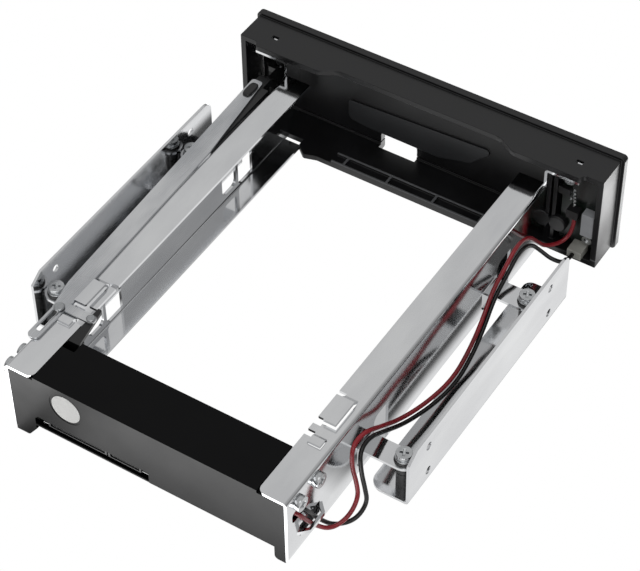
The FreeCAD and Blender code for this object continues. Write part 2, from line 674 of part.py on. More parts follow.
# Backplane housing and its electrical parts
def housing_feet():
    """The two feet at the rear corners that stand on the bay floor beside the rails."""
    low = HOUSING_LOW - FOOT_DROP
    top = HOUSING_LOW + 0.2
    left = [(-HOUSING_X, low + 1.0), (4.0 - HOUSING_X, low + 1.0, 1.5), (4.0 - HOUSING_X, top),
            (-HOUSING_X, top)]
    right = [(HOUSING_X, low), (HOUSING_X, top), (HOUSING_X - 9.0, top),
             (HOUSING_X - 9.0, HOUSING_LOW - 1, 1.5),
             (HOUSING_X - 5.0, low, 1.5)]
    return [prism(points, "xz", REAR_Y - FOOT_LENGTH, REAR_Y) for points in (left, right)]


def housing():
    """Moulded cover, open below: steps under the rail flanges, rear connector slot, pusher pocket, feet."""
    wall = HOUSING_WALL
    step = FLANGE_EDGE - 2 * HOUSING_GAP
    bevel = HOUSING_CHAMFER
    under = RAIL_UNDER - HOUSING_GAP
    half = [(step, RAIL_TOP), (step, under), (HOUSING_X - bevel, under), (HOUSING_X, under - bevel),
            (HOUSING_X, HOUSING_LOW)]
    shell = prism(half + [(-x, z) for x, z in reversed(half)], "xz", HOUSING_Y, REAR_Y)
    cavity = block(wall - HOUSING_X, HOUSING_X - wall, HOUSING_Y + wall, REAR_Y - wall, HOUSING_LOW - 1,
                   RAIL_UNDER - wall)
    walls = block(POCKET_X - wall, HOUSING_X, HOUSING_Y, POCKET_REAR + wall, POCKET_LOW - 1.3,
                  RAIL_UNDER - 1.0)
    adds = [walls] + housing_feet()
    cuts = [block(POCKET_X, HOUSING_X + 1, HOUSING_Y - 1, POCKET_REAR, POCKET_LOW, RAIL_TOP + 1)]
    for side, rows in ((-1, LEFT_SCREWS_Y), (1, RIGHT_SCREWS_Y)):
        for y in rows:
            adds.append(rod_x(BOSS_RADIUS, side * (HOUSING_X - 9), y, SIDE_SCREW_Z, 8.9, side))
            cuts.append(rod_x(SIDE_SCREW_SHANK, side * (HOUSING_X - 9), y, SIDE_SCREW_Z, 12, side))
    for x, y in BOARD_SCREWS:
        adds.append(rod(BOSS_RADIUS, x, y, BOARD_TOP, RAIL_UNDER - wall + 0.5))
        cuts.append(rod(BOARD_SCREW_SHANK, x, y, BOARD_TOP - 1, BOARD_TOP + 7))
    cuts.append(block(SOCKET_X[0] - 0.4, SOCKET_X[1] + 0.4, HOUSING_Y - 1, HOUSING_Y + wall + 0.5,
                      HOUSING_LOW - 1, SOCKET_TOP + 0.4))
    x0, x1 = REAR_SLOT_X
    cuts.append(prism([(x0, HOUSING_LOW - 1), (x0, REAR_SLOT_TOP), (x1 - 1.2, REAR_SLOT_TOP),
                       (x1, REAR_SLOT_TOP - 1.2),
                       (x1, HOUSING_LOW - 1)], "xz", REAR_Y - wall - 1, REAR_Y + 1))
    cuts.append(lead_hole(-HOUSING_X - 1, wall + 1 - HOUSING_X))
    cuts.append(rod_y(STICKER_RADIUS + 0.2, STICKER_X, REAR_Y - STICKER_THICKNESS, STICKER_Z, 1))
    return join([shell.cut(cavity)] + adds).cut(join(cuts))


def backplane_board():
    """Circuit board under the housing's pillars, with screw holes."""
    board = block(-BOARD_X, BOARD_X, BOARD_Y[0], BOARD_Y[1], BOARD_LOW, BOARD_TOP)
    holes = [rod(BOARD_SCREW_SHANK + 0.2, x, y, BOARD_LOW - 1, BOARD_TOP + 1) for x, y in BOARD_SCREWS]
    return board.cut(join(holes))


def drive_socket():
    """Drive side receptacle: seven and fifteen way slots with key notches, saddled on the board edge."""
    rear = SOCKET_FRONT + SOCKET_DEPTH
    body = block(SOCKET_X[0], SOCKET_X[1], SOCKET_FRONT, rear, SOCKET_LOW, SOCKET_TOP)
    cuts = [block(SOCKET_X[0] - 1, SOCKET_X[1] + 1, BOARD_Y[0], rear + 1, BOARD_LOW, BOARD_TOP)]
    for start, span in zip(SOCKET_STARTS, (DATA_SPAN, POWER_SPAN)):
        end = start + span + SOCKET_SLOT_END
        floor = SOCKET_FRONT + SLOT_DEPTH
        cuts.append(block(start - SOCKET_SLOT_END, end, SOCKET_FRONT - 1, floor, SOCKET_MIDDLE - 1.2,
                          SOCKET_MIDDLE + 1.2))
        cuts.append(block(end - 1.4, end, SOCKET_FRONT - 1, floor, SOCKET_MIDDLE - 2.4, SOCKET_MIDDLE + 1.2))
    return body.cut(join(cuts))


def socket_contacts():
    """Spring blades lying along the upper side of the two receptacle slots."""
    top = SOCKET_MIDDLE + 1.2
    blades = []
    for start, ways in zip(SOCKET_STARTS, (DATA_WAYS, POWER_WAYS)):
        for i in range(ways):
            x = start + CONTACT_PITCH * i
            blades.append(block(x - 0.3, x + 0.3, SOCKET_FRONT + 0.8, SOCKET_FRONT + SLOT_DEPTH, top - 0.3,
                                top))
    return blades


def rear_plug(centre, ways, key_side):
    """Rear plug: shroud on the board with a contact tongue and an L key; returns body and contacts."""
    span = (ways - 1) * CONTACT_PITCH
    x0 = centre - span / 2 - PLUG_ENDS
    x1 = centre + span / 2 + PLUG_ENDS
    top = REAR_SLOT_TOP - 0.2
    rear = REAR_Y - PLUG_INSET
    floor = BOARD_TOP + 0.5
    body = block(x0, x1, rear - PLUG_DEPTH, rear, BOARD_TOP, top)
    hollow = block(x0 + 0.8, x1 - 0.8, rear - 5.6, rear + 1, floor, top - 0.5)
    tongue = block(x0 + 1.2, x1 - 1.2, rear - 6.0, rear - 0.4, floor - 0.1, floor + 0.6)
    key_x = x0 + 1.2 if key_side < 0 else x1 - 2.2
    key = block(key_x, key_x + 1.0, rear - 6.0, rear - 0.4, floor - 0.1, floor + 1.3)
    blades = []
    for i in range(ways):
        x = centre - span / 2 + CONTACT_PITCH * i
        blades.append(block(x - 0.25, x + 0.25, rear - 5.4, rear - 0.8, floor + 0.6, floor + 0.8))
    return join([body.cut(hollow), tongue, key]), blades


def lead_header():
    """Two way header on the board, beside the lead hole, and the crimp housing pushed into it."""
    wide = HEADER_WIDTH / 2
    long = HEADER_LENGTH / 2
    wall = 0.8
    seat = BOARD_TOP + 0.6
    body = block(HEADER_X - wide, HEADER_X + wide, HEADER_Y - long, HEADER_Y + long, BOARD_TOP,
                 BOARD_TOP + HEADER_HEIGHT)
    inner = (HEADER_X - wide + wall, HEADER_X + wide - wall, HEADER_Y - long + wall, HEADER_Y + long - wall)
    return body.cut(block(*inner, seat, BOARD_TOP + HEADER_HEIGHT + 1)), block(*inner, seat, BOARD_TOP + 1.8)


# Front bezel
def roof_edge():
    """Rear strip of the roof: it reaches over both rail ears and is cut back between them in soft steps."""
    back = BOX_Y - ROOF_RECESS
    ahead = BOX_Y + HOOD_DEPTH
    outer = RAIL_OUT + HOOD_OUTER
    inner = RAIL_OUT - HOOD_INNER
    half = [(inner - ROOF_STEP, back, 6.0), (inner, ahead, 6.0), (outer, ahead, 1.2),
            (outer + 1.0, BOX_Y, 1.2),
            (BOX_X, BOX_Y), (BOX_X, BOX_Y - 4)]
    return prism(half + [(-point[0],) + point[1:] for point in reversed(half)], "xy", ROOF_Z, BOX_TOP)


def lead_in_lip():
    """Thin lip behind the floor with raised cross ribs, where the disk is set down."""
    rear = BOX_Y + LIP_DEPTH
    right = RAIL_OUT - LIP_INSET
    left = LIP_INSET + 1.0 - RAIL_OUT
    top = FLOOR_Z + LIP_RIB_HEIGHT
    low = FLOOR_Z - 0.1
    plate = prism([(left, BOX_Y - 0.2), (right, BOX_Y - 0.2), (right, rear - 2.0, 1.5),
                   (right - 4.0, rear + LIP_CORNER, 1.5),
                   (right - 9.0, rear), (left + 2.0, rear), (left, rear - 3.0)], "xy", BOX_LOW, FLOOR_Z)
    span = (LIP_RIBS_X[0] - 12.0, LIP_RIBS_X[-1] + 5.0)
    ribs = [block(span[0], span[1], y, y + LIP_RIB, low, top) for y in (BOX_Y - 0.3, rear - LIP_RIB)]
    ribs += [block(x - 0.5, x + 0.5, BOX_Y, rear - 0.4, low, top) for x in LIP_RIBS_X]
    return [plate] + ribs


def bezel():
    """Moulded front frame: flange, hollow box, door opening, ribs, lead-in lip and catch windows."""
    flange = prism(rounded(-FLANGE_X, FLANGE_X, 0, FLANGE_HEIGHT, 1.6), "xz", FRONT_Y, SEAT_Y)
    front = [e for e in flange.Edges if all(abs(v.Y - FRONT_Y) < 1e-6 for v in e.Vertexes)]
    flange = flange.makeChamfer(0.6, front)
    box = block(-BOX_X, BOX_X, SEAT_Y - 0.5, BOX_Y, BOX_LOW, BOX_TOP)
    inside = block(-BOX_IN, BOX_IN, SEAT_Y, BOX_Y + 1, FLOOR_Z, ROOF_Z)
    rear_roof = block(-BOX_X - 1, BOX_X + 1, BOX_Y - 4, BOX_Y + 1, ROOF_Z, BOX_TOP + 1)
    solids = [flange, box.cut(join([inside, rear_roof])), roof_edge()] + lead_in_lip()
    for x in ROOF_RIBS_X:
        solids.append(block(x, x + RIB, SEAT_Y, BOX_Y - RIB_DEPTH, DOOR_TOP_Z - RIB_DROP, ROOF_Z + 0.1))
    partition = -RAIL_OUT - DOOR_GAP
    solids.append(block(partition - RIB, partition, SEAT_Y - 0.5, BOX_Y - 3, FLOOR_Z - 0.1,
                        ROOF_Z - SHEET - 0.6))
    solids += [rod_y(CONTROL_BOSS, x, SEAT_Y - 0.5, z, CONTROL_DEPTH + 0.5) for x, z in CONTROL_SCREWS]
    cuts = [prism([(JAMB_X, SILL, 1.0), (BOX_IN, SILL), (BOX_IN, DOOR_TOP_Z), (JAMB_X, DOOR_TOP_Z, 1.0)],
                  "xz", FRONT_Y - 1, SEAT_Y + 0.01)]
    cuts.append(block(HINGE_X - BARREL_RADIUS - 6, BOX_IN, FRONT_Y - 1, SEAT_Y + 1, SILL, DOOR_TOP_Z))
    cuts.append(block(NOTCH_X[0], NOTCH_X[1], FRONT_Y - 1, SEAT_Y + 1.5, -1, SILL + 1))
    for a, b in LOCK_TONGUES_X:
        cuts.append(block(a - MOVING_GAP, b + MOVING_GAP, LOCK_Y - MOVING_GAP, LOCK_BACK + MOVING_GAP,
                          SILL - 1.8, SILL + 1))
    for x in (-EAR_CATCH_X, EAR_CATCH_X):
        cuts.append(block(x - CATCH_WIDTH / 2, x + CATCH_WIDTH / 2, EAR_CATCH_Y - CATCH_LENGTH / 2,
                          EAR_CATCH_Y + CATCH_LENGTH / 2, ROOF_Z - 1, BOX_TOP + 1))
    cuts.append(rod(HINGE_PIN, HINGE_X, HINGE_Y, PIN_LOW, PIN_TOP))
    cuts.append(rod_y(BUTTON_RADIUS + MOVING_GAP, BUTTON_X, FRONT_Y - 1, BUTTON_Z, 6))
    cuts.append(rod_y(LAMP_RADIUS, BUTTON_X, FRONT_Y - 1, LAMP_Z, 6))
    cuts += [rod_y(CONTROL_SCREW_SHANK, x, CONTROL_Y - 5, z, 8) for x, z in CONTROL_SCREWS]
    return join(solids).cut(join(cuts))


# Door and lock slide
def front_door():
    """Side hinged door: panel, raised field behind, hinge barrel with a crank, slide slot, finger notch."""
    panel = block(DOOR_FREE_X, HINGE_X, FRONT_Y, DOOR_BACK, DOOR_LOW, DOOR_TOP)
    free_edge = [e for e in panel.Edges
                 if all(abs(v.X - DOOR_FREE_X) < 1e-6 and abs(v.Y - FRONT_Y) < 1e-6 for v in e.Vertexes)]
    panel = panel.makeFillet(1.0, free_edge)
    barrel = rod(BARREL_RADIUS, HINGE_X, HINGE_Y, DOOR_LOW, DOOR_TOP)
    relief = prism([(x, DOOR_LOW + z, r) for x, z, r in RELIEF_OUTLINE], "xz", DOOR_BACK - 0.1,
                   DOOR_BACK + RELIEF_DEPTH)
    rim = block(DOOR_FREE_X + 2, HINGE_X - 8, DOOR_BACK - 0.1, DOOR_BACK + RELIEF_DEPTH,
                DOOR_TOP - 0.6 - RIM_WIDTH, DOOR_TOP - 0.6)
    crank = Part.makeBox(CRANK_REACH, 2 * CRANK_END, CRANK_THICKNESS, V(0, -CRANK_END, 0))
    crank = placed(crank, V(0, 0, 1), 135, HINGE_X, HINGE_Y, CRANK_LOW)
    crank_end = rod(CRANK_END, CRANK_X, CRANK_Y, CRANK_LOW, CRANK_TOP)
    gap = MOVING_GAP
    cuts = [block(LOCK_X[0] - gap, LOCK_X[1] + gap, LOCK_Y - gap, LOCK_BACK + gap, DOOR_LOW - 1,
                  LOCK_TOP + gap)]
    cuts.append(block(THUMB_X[0] - gap, THUMB_X[1] + gap, FRONT_Y - 1, LOCK_Y, THUMB_LOW - LOCK_TRAVEL - gap,
                      THUMB_LOW + THUMB_HEIGHT + gap))
    cuts.append(prism([(NOTCH_X[0], DOOR_LOW - 1), (NOTCH_X[0], DOOR_LOW + NOTCH_RISE, 1.5),
                       (NOTCH_X[1], DOOR_LOW + NOTCH_RISE, 1.5), (NOTCH_X[1], DOOR_LOW - 1)],
                      "xz", FRONT_Y - 1, DOOR_BACK + RELIEF_DEPTH + 1))
    cuts.append(rod(HINGE_PIN + RUNNING_GAP, HINGE_X, HINGE_Y, DOOR_LOW - 1, DOOR_TOP + 1))
    cuts.append(block(HINGE_X - BARREL_RADIUS - 1, HINGE_X + BARREL_RADIUS + 1, DOOR_BACK,
                      HINGE_Y + BARREL_RADIUS + 1,
                      CRANK_TOP, PULL_TOP + gap))
    cuts.append(rod(CRANK_PIN, CRANK_X, CRANK_Y, CRANK_SEAT, CRANK_TOP + 1))
    return join([panel, barrel, crank, crank_end, relief, rim]).cut(join(cuts))


def lock_slide():
    """Thumb slide inside the door, shown unlocked: pushed down, its tongues drop into slots in the sill."""
    plate = prism(rounded(LOCK_X[0], LOCK_X[1], LOCK_LOW, LOCK_TOP, 1.0), "xz", LOCK_Y, LOCK_BACK)
    tongues = [block(a, b, LOCK_Y, LOCK_BACK, TONGUE_LOW, LOCK_LOW + 1.5) for a, b in LOCK_TONGUES_X]
    pad = block(THUMB_X[0], THUMB_X[1], FRONT_Y + 0.5, LOCK_Y + 0.1, THUMB_LOW, THUMB_LOW + THUMB_HEIGHT)
    middle = (THUMB_X[0] + THUMB_X[1]) / 2
    ridges = [block(middle - 8, middle + 8, FRONT_Y + 0.1, FRONT_Y + 0.6, THUMB_LOW + z, THUMB_LOW + z + 0.6)
              for z in (0.7, 1.7, 2.7)]
    return join([plate, pad] + tongues + ridges)


# Ejector
def ejector_strip():
    """Flat steel strip: slightly slanted bar, round rear eye with the guide slot, inward cross arm."""
    front = BOX_Y + STRIP_START
    bend = HOUSING_Y - STRIP_BEND
    eye = HOUSING_Y + STRIP_EYE
    half = STRIP_WIDTH / 2
    inner = RAIL_OUT - 2.65
    outer = RAIL_OUT + 1.7
    tip = PUSHER_PIN_X - CROSS_ARM / 2
    plate = prism([
        (LINK_X + half - STRIP_NOSE, front, 1.2), (LINK_X + half, front, 1.2), (outer + 2.4, bend),
        (outer, HOUSING_Y - 6.7, 3.0),
        (outer, eye, 2.1), (inner, eye, 2.1), (inner, CROSS_ARM_Y + CROSS_ARM),
        (tip, CROSS_ARM_Y + CROSS_ARM, 1.7), (tip, CROSS_ARM_Y, 1.7), (inner, CROSS_ARM_Y), (inner, bend - 2),
        (RAIL_OUT - STRIP_WAIST, STRIP_WAIST_Y),
    ], "xy", STRIP_LOW, STRIP_TOP)
    radius = RIVET_RADIUS + MOVING_GAP
    slot = prism(rounded(GUIDE_X - radius, GUIDE_X + radius, GUIDE_Y - radius,
                         GUIDE_Y + EJECT_TRAVEL + radius + 0.2,
                         radius - 0.01), "xy", STRIP_LOW - 1, STRIP_TOP + 1)
    rivets = [rod(RIVET_RADIUS, x, y, STRIP_LOW - 1, STRIP_TOP + 1) for x,
              y in ((LINK_X, LINK_Y), (PUSHER_PIN_X, PUSHER_PIN_Y))]
    return plate.cut(join([slot] + rivets))


def rivet(x, y, low, seat, head):
    """Round rivet with a low head on its seat."""
    return turned([(0, low), (RIVET_RADIUS, low), (RIVET_RADIUS, seat), (head, seat), (head, seat + 0.3),
                   (head - 0.4, seat + 0.6), (0, seat + 0.6)], x, y)


def ejector_pull():
    """Moulded pull between the door crank and the strip, with a cross slot for the crank pin."""
    far = HINGE_X - CRANK_REACH
    edge = far - 3.4
    half = STRIP_WIDTH / 2 - 0.5
    y0 = CRANK_Y - PULL_SIDE
    y1 = CRANK_Y + PULL_SIDE
    neck = BOX_Y + 3
    tongue = prism([(edge, y0, 1.0), (CRANK_X + 3.2, y0, 2.0), (CRANK_X + 3.2, y1, 1.0), (LINK_X + half, y1),
                    (LINK_X + half, neck), (edge, neck)], "xy", PULL_LOW, PULL_TOP)
    play = CRANK_PIN + MOVING_GAP
    slot = prism(rounded(far - play, CRANK_X + play, CRANK_Y - PULL_SLOT / 2, CRANK_Y + PULL_SLOT / 2, 1.5),
                 "xy",
                 PULL_LOW - 1, PULL_TOP + 1)
    tail = LINK_Y + 3
    rise = prism([(y1 + 0.4, PULL_LOW), (neck, PULL_LOW), (BOX_Y + 8, LINK_LOW), (tail, LINK_LOW),
                  (tail, STRIP_LOW),
                  (BOX_Y + 6.4, STRIP_LOW), (BOX_Y + 1.4, PULL_TOP), (y1 + 0.4, PULL_TOP)],
                 "yz", LINK_X - half, LINK_X + half)
    beside = RAIL_OUT + PULL_BAR_GAP
    bar = prism([(beside, PULL_BAR_Y[0]), (LINK_X + half, PULL_BAR_Y[0]), (LINK_X + half, tail),
                 (beside + PULL_BAR_TIP, PULL_BAR_Y[1], 1.0), (beside, PULL_BAR_Y[1], 1.0)], "xy", LINK_LOW,
                 STRIP_LOW)
    hole = rod(RIVET_RADIUS, LINK_X, LINK_Y, LINK_LOW - 1, STRIP_TOP)
    return join([tongue, rise, bar]).cut(join([slot, hole]))


def ejector_pusher():
    """Moulded pusher: tapered top plate beside the flange and a claw that drops behind the drive."""
    edge = FLANGE_EDGE - MOVING_GAP
    plate = prism([(edge, PUSHER_TIP_Y), (edge, CLAW_REAR), (PUSHER_X, CLAW_REAR),
                   (PUSHER_X, CLAW_REAR - 1.5),
                   (edge - 1.6, PUSHER_TIP_Y, 0.7)], "xy", PUSHER_LOW, STRIP_LOW)
    under = RAIL_UNDER - MOVING_GAP
    side = RAIL_IN - 0.8
    claw = prism([(PUSHER_X, CLAW_LOW), (side, CLAW_LOW, 1.0), (side, under, 0.6), (edge, under),
                  (edge, PUSHER_LOW + 0.2), (PUSHER_X, PUSHER_LOW + 0.2)], "xz", CLAW_Y, CLAW_REAR)
    return join([plate, claw]).cut(rod(RIVET_RADIUS, PUSHER_PIN_X, PUSHER_PIN_Y, PUSHER_LOW + 0.3,
                                       STRIP_LOW + 1))


# Front controls
def control_board():
    """Small board behind the left front wall, on two bosses."""
    board = block(1.0 - BOX_IN, JAMB_X - 1.4, CONTROL_Y, CONTROL_REAR, FLOOR_Z + 1.4, ROOF_Z - 3.6)
    return board.cut(join([rod_y(CONTROL_SCREW_SHANK + 0.2, x, CONTROL_Y - 1, z, 4) for x,
                           z in CONTROL_SCREWS]))


def power_button():
    """Push button with a collar behind the front wall."""
    collar = FLANGE_THICKNESS + 0.1
    profile = [(0, 0), (BUTTON_RADIUS - 0.4, 0), (BUTTON_RADIUS, 0.4), (BUTTON_RADIUS, collar),
               (BUTTON_RADIUS + BUTTON_COLLAR, collar), (BUTTON_RADIUS + BUTTON_COLLAR, BUTTON_LENGTH),
               (0, BUTTON_LENGTH)]
    return placed(turned(profile, 0, 0), V(1, 0, 0), -90, BUTTON_X, FRONT_Y, BUTTON_Z)


def tact_switch():
    y0 = FRONT_Y + BUTTON_LENGTH + BUTTON_TRAVEL + 0.1
    body = block(BUTTON_X - 3, BUTTON_X + 3, y0 + 0.6, CONTROL_Y, BUTTON_Z - 3, BUTTON_Z + 3)
    return join([body, rod_y(1.6, BUTTON_X, y0, BUTTON_Z, 0.7)])


def lamp_lens():
    """Clear light guide through the front wall to the lamp."""
    guide = rod_y(LAMP_RADIUS, BUTTON_X, FRONT_Y, LAMP_Z, LAMP_GUIDE)
    return join([guide, rod_y(LAMP_RADIUS + 0.8, BUTTON_X, SEAT_Y, LAMP_Z, 1.0)])


def status_lamp():
    y0 = FRONT_Y + LAMP_GUIDE
    return join([rod_y(1.4, BUTTON_X, y0, LAMP_Z, CONTROL_Y - y0),
                 rod_y(1.8, BUTTON_X, CONTROL_Y - 0.8, LAMP_Z, 0.8)])


def front_connectors():
    """Clear plug on the compartment floor, grey terminal and red lead's socket on the control board."""
    wide, deep, tall = LEAD_PLUG_SIZE
    x0 = 2.8 - BOX_IN
    plug = block(x0, x0 + wide, CONTROL_REAR, CONTROL_REAR + deep, FLOOR_Z, FLOOR_Z + tall)
    wide, deep, tall = TERMINAL_SIZE
    x0 = 0.4 - BOX_IN
    z0 = FLOOR_Z + 9.8
    terminal = block(x0, x0 + wide, CONTROL_REAR, CONTROL_REAR + deep, z0, z0 + tall)
    wide, deep, tall = BOARD_SOCKET_SIZE
    x0 = BUTTON_X - 1.2
    z0 = BUTTON_Z + 3.4
    socket = block(x0, x0 + wide, CONTROL_REAR, CONTROL_REAR + deep, z0, z0 + tall)
    return {"lead_plug": plug, "board_terminal": terminal, "board_socket": socket}


# Twin lead: straight runs joined by tangent arcs
RED_ROUTE = (
    (-44.2, 84.6, 13.0), (-44.2, 84.6, 23.4), (-53.95, 84.8, 23.6), (-53.95, 77.4, 10.4), (-57.6, 72.8, 5.4),
    (-60.6, 67.2, 7.6), (-60.8, 61.8, 11.6), (-59.2, 60.4, 16.6), (-57.0, 59.8, 22.6), (-56.0, 57.6, 29.6),
    (-56.0, 50.8, 29.0), (-56.3, 42.4, 23.2), (-57.2, 30.6, 15.4), (-59.4, 16.8, 11.8), (-60.2, 2.0, 9.2),
    (-59.8, -9.5, 12.6), (-58.4, -19.5, 15.8), (-57.0, -28.6, 21.4), (-56.6, -37.4, 24.2),
    (-56.6, -45.4, 28.6),
    (-56.8, -53.6, 25.6), (-57.0, -60.6, 16.8), (-57.2, -66.6, 9.8), (-60.4, -73.2, 7.8),
    (-62.4, -76.7, 12.0),
    (-62.4, -76.7, 18.4),
)
BLACK_ROUTE = (
    (-44.2, 81.8, 13.0), (-44.2, 81.8, 23.4), (-53.95, 82.0, 23.6), (-53.95, 74.6, 10.4), (-56.8, 69.8, 3.6),
    (-61.4, 64.6, 3.6), (-62.8, 59.6, 8.0), (-61.4, 59.0, 13.6), (-59.4, 58.2, 20.2), (-57.8, 56.2, 26.6),
    (-57.4, 49.8, 26.6), (-57.6, 41.4, 20.8), (-58.3, 30.0, 13.4), (-60.5, 16.4, 9.9), (-61.3, 2.0, 7.3),
    (-60.9, -9.8, 10.7), (-59.5, -19.3, 13.9), (-58.2, -28.2, 19.4), (-57.8, -37.0, 22.2),
    (-57.8, -44.8, 26.4),
    (-58.0, -52.8, 23.4), (-58.8, -59.4, 14.8), (-61.2, -63.6, 8.2), (-64.9, -67.2, 5.0), (-64.9, -72.4, 5.0),
)


def lead(points, name):
    """A round lead along a polyline whose corners are tangent arcs; prints its bend radii."""
    nodes = [V(*p) for p in points]
    edges = []
    radii = []
    last = nodes[0]
    for i in range(1, len(nodes) - 1):
        before = nodes[i] - nodes[i - 1]
        after = nodes[i + 1] - nodes[i]
        half = before.getAngle(after) / 2
        reach = 0.45 * min(before.Length, after.Length)
        start = nodes[i] - before.normalize() * reach
        end = nodes[i] + after.normalize() * reach
        bend = reach / math.tan(half)
        radii.append(round(bend, 1))
        inward = ((start + end) * 0.5 - nodes[i]).normalize()
        edges.append(Part.LineSegment(last, start).toShape())
        edges.append(Part.Arc(start, nodes[i] + inward * (bend / math.cos(half) - bend), end).toShape())
        last = end
    edges.append(Part.LineSegment(last, nodes[-1]).toShape())
    spine = Part.Wire(edges)
    area = math.pi * LEAD_RADIUS ** 2
    reach = math.sqrt(2 * area / (LEAD_SIDES * math.sin(2 * math.pi / LEAD_SIDES)))
    ring = [V(reach * math.cos(2 * math.pi * i / LEAD_SIDES),
              reach * math.sin(2 * math.pi * i / LEAD_SIDES), 0) + nodes[0]
            for i in range(LEAD_SIDES)]
    section = Part.makePolygon(ring + ring[:1])
    solid = spine.makePipeShell([section], True, False)
    print(name, "length", round(spine.Length, 1), "volume ratio",
          round(solid.Volume / (area * spine.Length), 3),
          "smallest radius", min(radii), radii)
    return solid


def main():
    save("left_rail", left_rail())
    save("right_rail", right_rail())
    plate = side_plate()
    save("right_side_plate", plate)
    save("left_side_plate", mirrored(plate))
    mounts()
    save("backplane_housing", housing())
    save("backplane_board", backplane_board())
    save("drive_socket", drive_socket())
    save("socket_contacts", *socket_contacts())
    power, power_blades = rear_plug(POWER_CENTRE_X, POWER_WAYS, -1)
    data, data_blades = rear_plug(DATA_CENTRE_X, DATA_WAYS, 1)
    save("power_plug", power)
    save("data_plug", data)
    save("plug_contacts", *power_blades, *data_blades)
    header, header_plug = lead_header()
    save("lead_header", header)
    save("header_plug", header_plug)
    screw = cross_screw(BOARD_SCREW_LENGTH, BOARD_SCREW_SHANK, SMALL_HEAD, SMALL_HEAD_HEIGHT)
    save("board_screws", *[placed(screw, V(1, 0, 0), 180, x, y, BOARD_LOW) for x, y in BOARD_SCREWS])
    screw = cross_screw(SIDE_SCREW_LENGTH, SIDE_SCREW_SHANK, SCREW_HEAD, SCREW_HEAD_HEIGHT)
    sides = [(-1, y) for y in LEFT_SCREWS_Y] + [(1, y) for y in RIGHT_SCREWS_Y]
    save("housing_screws", *[placed(screw, V(0, 1, 0), side * 90, side * RAIL_OUT, y, SIDE_SCREW_Z) for side,
                             y in sides])
    save("round_sticker", rod_y(STICKER_RADIUS, STICKER_X, REAR_Y - STICKER_THICKNESS, STICKER_Z,
                                STICKER_THICKNESS))
    save("bezel_frame", bezel())
    save("front_door", front_door())
    save("door_hinge_pin", rod(HINGE_PIN, HINGE_X, HINGE_Y, PIN_LOW, PIN_TOP))
    save("crank_pin", rod(CRANK_PIN, CRANK_X, CRANK_Y, CRANK_SEAT, PULL_TOP + 0.6))
    save("lock_slide", lock_slide())
    save("ejector_strip", ejector_strip())
    save("ejector_pull", ejector_pull())
    save("ejector_pusher", ejector_pusher())
    save("link_rivets", rivet(LINK_X, LINK_Y, LINK_LOW, STRIP_TOP, 1.6),
         rivet(PUSHER_PIN_X, PUSHER_PIN_Y, PUSHER_LOW + 0.3, STRIP_TOP, 1.6))
    save("guide_rivet", rivet(GUIDE_X, GUIDE_Y, RAIL_UNDER, STRIP_TOP + MOVING_GAP, GUIDE_HEAD))
    save("power_button", power_button())
    save("tact_switch", tact_switch())
    save("lamp_lens", lamp_lens())
    save("status_lamp", status_lamp())
    save("control_board", control_board())
    for name, solid in front_connectors().items():
        save(name, solid)
    screw = cross_screw(CONTROL_SCREW_LENGTH, CONTROL_SCREW_SHANK, SMALL_HEAD, SMALL_HEAD_HEIGHT)
    save("control_screws", *[placed(screw, V(1, 0, 0), -90, x, CONTROL_REAR, z) for x, z in CONTROL_SCREWS])
    save("red_lead", lead(RED_ROUTE, "red lead"))
    save("black_lead", lead(BLACK_ROUTE, "black lead"))


main()
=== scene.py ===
"""Studio scene of a trayless drive cage, in metres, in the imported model's frame."""
import bpy
import math
import numpy as np
from mathutils import Matrix, Vector


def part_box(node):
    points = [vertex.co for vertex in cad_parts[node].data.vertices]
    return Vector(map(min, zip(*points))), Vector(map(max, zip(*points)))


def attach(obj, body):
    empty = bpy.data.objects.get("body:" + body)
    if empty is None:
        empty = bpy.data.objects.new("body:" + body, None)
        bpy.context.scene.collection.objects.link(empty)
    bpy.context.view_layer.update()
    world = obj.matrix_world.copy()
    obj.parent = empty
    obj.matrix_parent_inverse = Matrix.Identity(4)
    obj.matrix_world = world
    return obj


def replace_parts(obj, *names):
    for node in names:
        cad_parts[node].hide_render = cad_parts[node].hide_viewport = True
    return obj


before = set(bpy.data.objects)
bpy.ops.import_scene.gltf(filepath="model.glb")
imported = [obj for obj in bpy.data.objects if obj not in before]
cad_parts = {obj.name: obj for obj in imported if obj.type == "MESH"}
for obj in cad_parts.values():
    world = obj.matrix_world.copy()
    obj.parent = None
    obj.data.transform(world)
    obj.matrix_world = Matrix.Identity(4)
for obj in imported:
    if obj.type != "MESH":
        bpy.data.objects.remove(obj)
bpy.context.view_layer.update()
MM = 0.001


def shown(name, data):
    """A new object in the scene, with this mesh, curve, lamp or camera."""
    obj = bpy.data.objects.new(name, data)
    bpy.context.scene.collection.objects.link(obj)
    return obj


# Camera, at the photograph's viewing angle
CAMERA_PLACE = (-0.28488, 0.42646, 0.55878)
CAMERA_FORWARD = (0.37511, -0.57675, -0.72571)
CAMERA_ROLL = -0.015
CAMERA_LENS = 125.36
SENSOR_WIDTH = 36.0
FAR_CLIP = 20.0


def studio_camera():
    """Camera whose axes are the forward direction and, across it, the level and the upright one, both
    turned about it by the roll."""
    forward = Vector(CAMERA_FORWARD).normalized()
    level = forward.cross(Vector((0, 0, 1))).normalized()
    upright = level.cross(forward)
    right = math.cos(CAMERA_ROLL) * level + math.sin(CAMERA_ROLL) * upright
    up = math.cos(CAMERA_ROLL) * upright - math.sin(CAMERA_ROLL) * level
    axes_of_view = Matrix((right, up, -forward)).transposed().to_4x4()
    camera = shown("camera", bpy.data.cameras.new("camera"))
    camera.data.lens = CAMERA_LENS
    camera.data.sensor_width = SENSOR_WIDTH
    camera.data.sensor_fit = "HORIZONTAL"
    camera.data.clip_end = FAR_CLIP
    camera.matrix_world = Matrix.Translation(CAMERA_PLACE) @ axes_of_view
    return camera


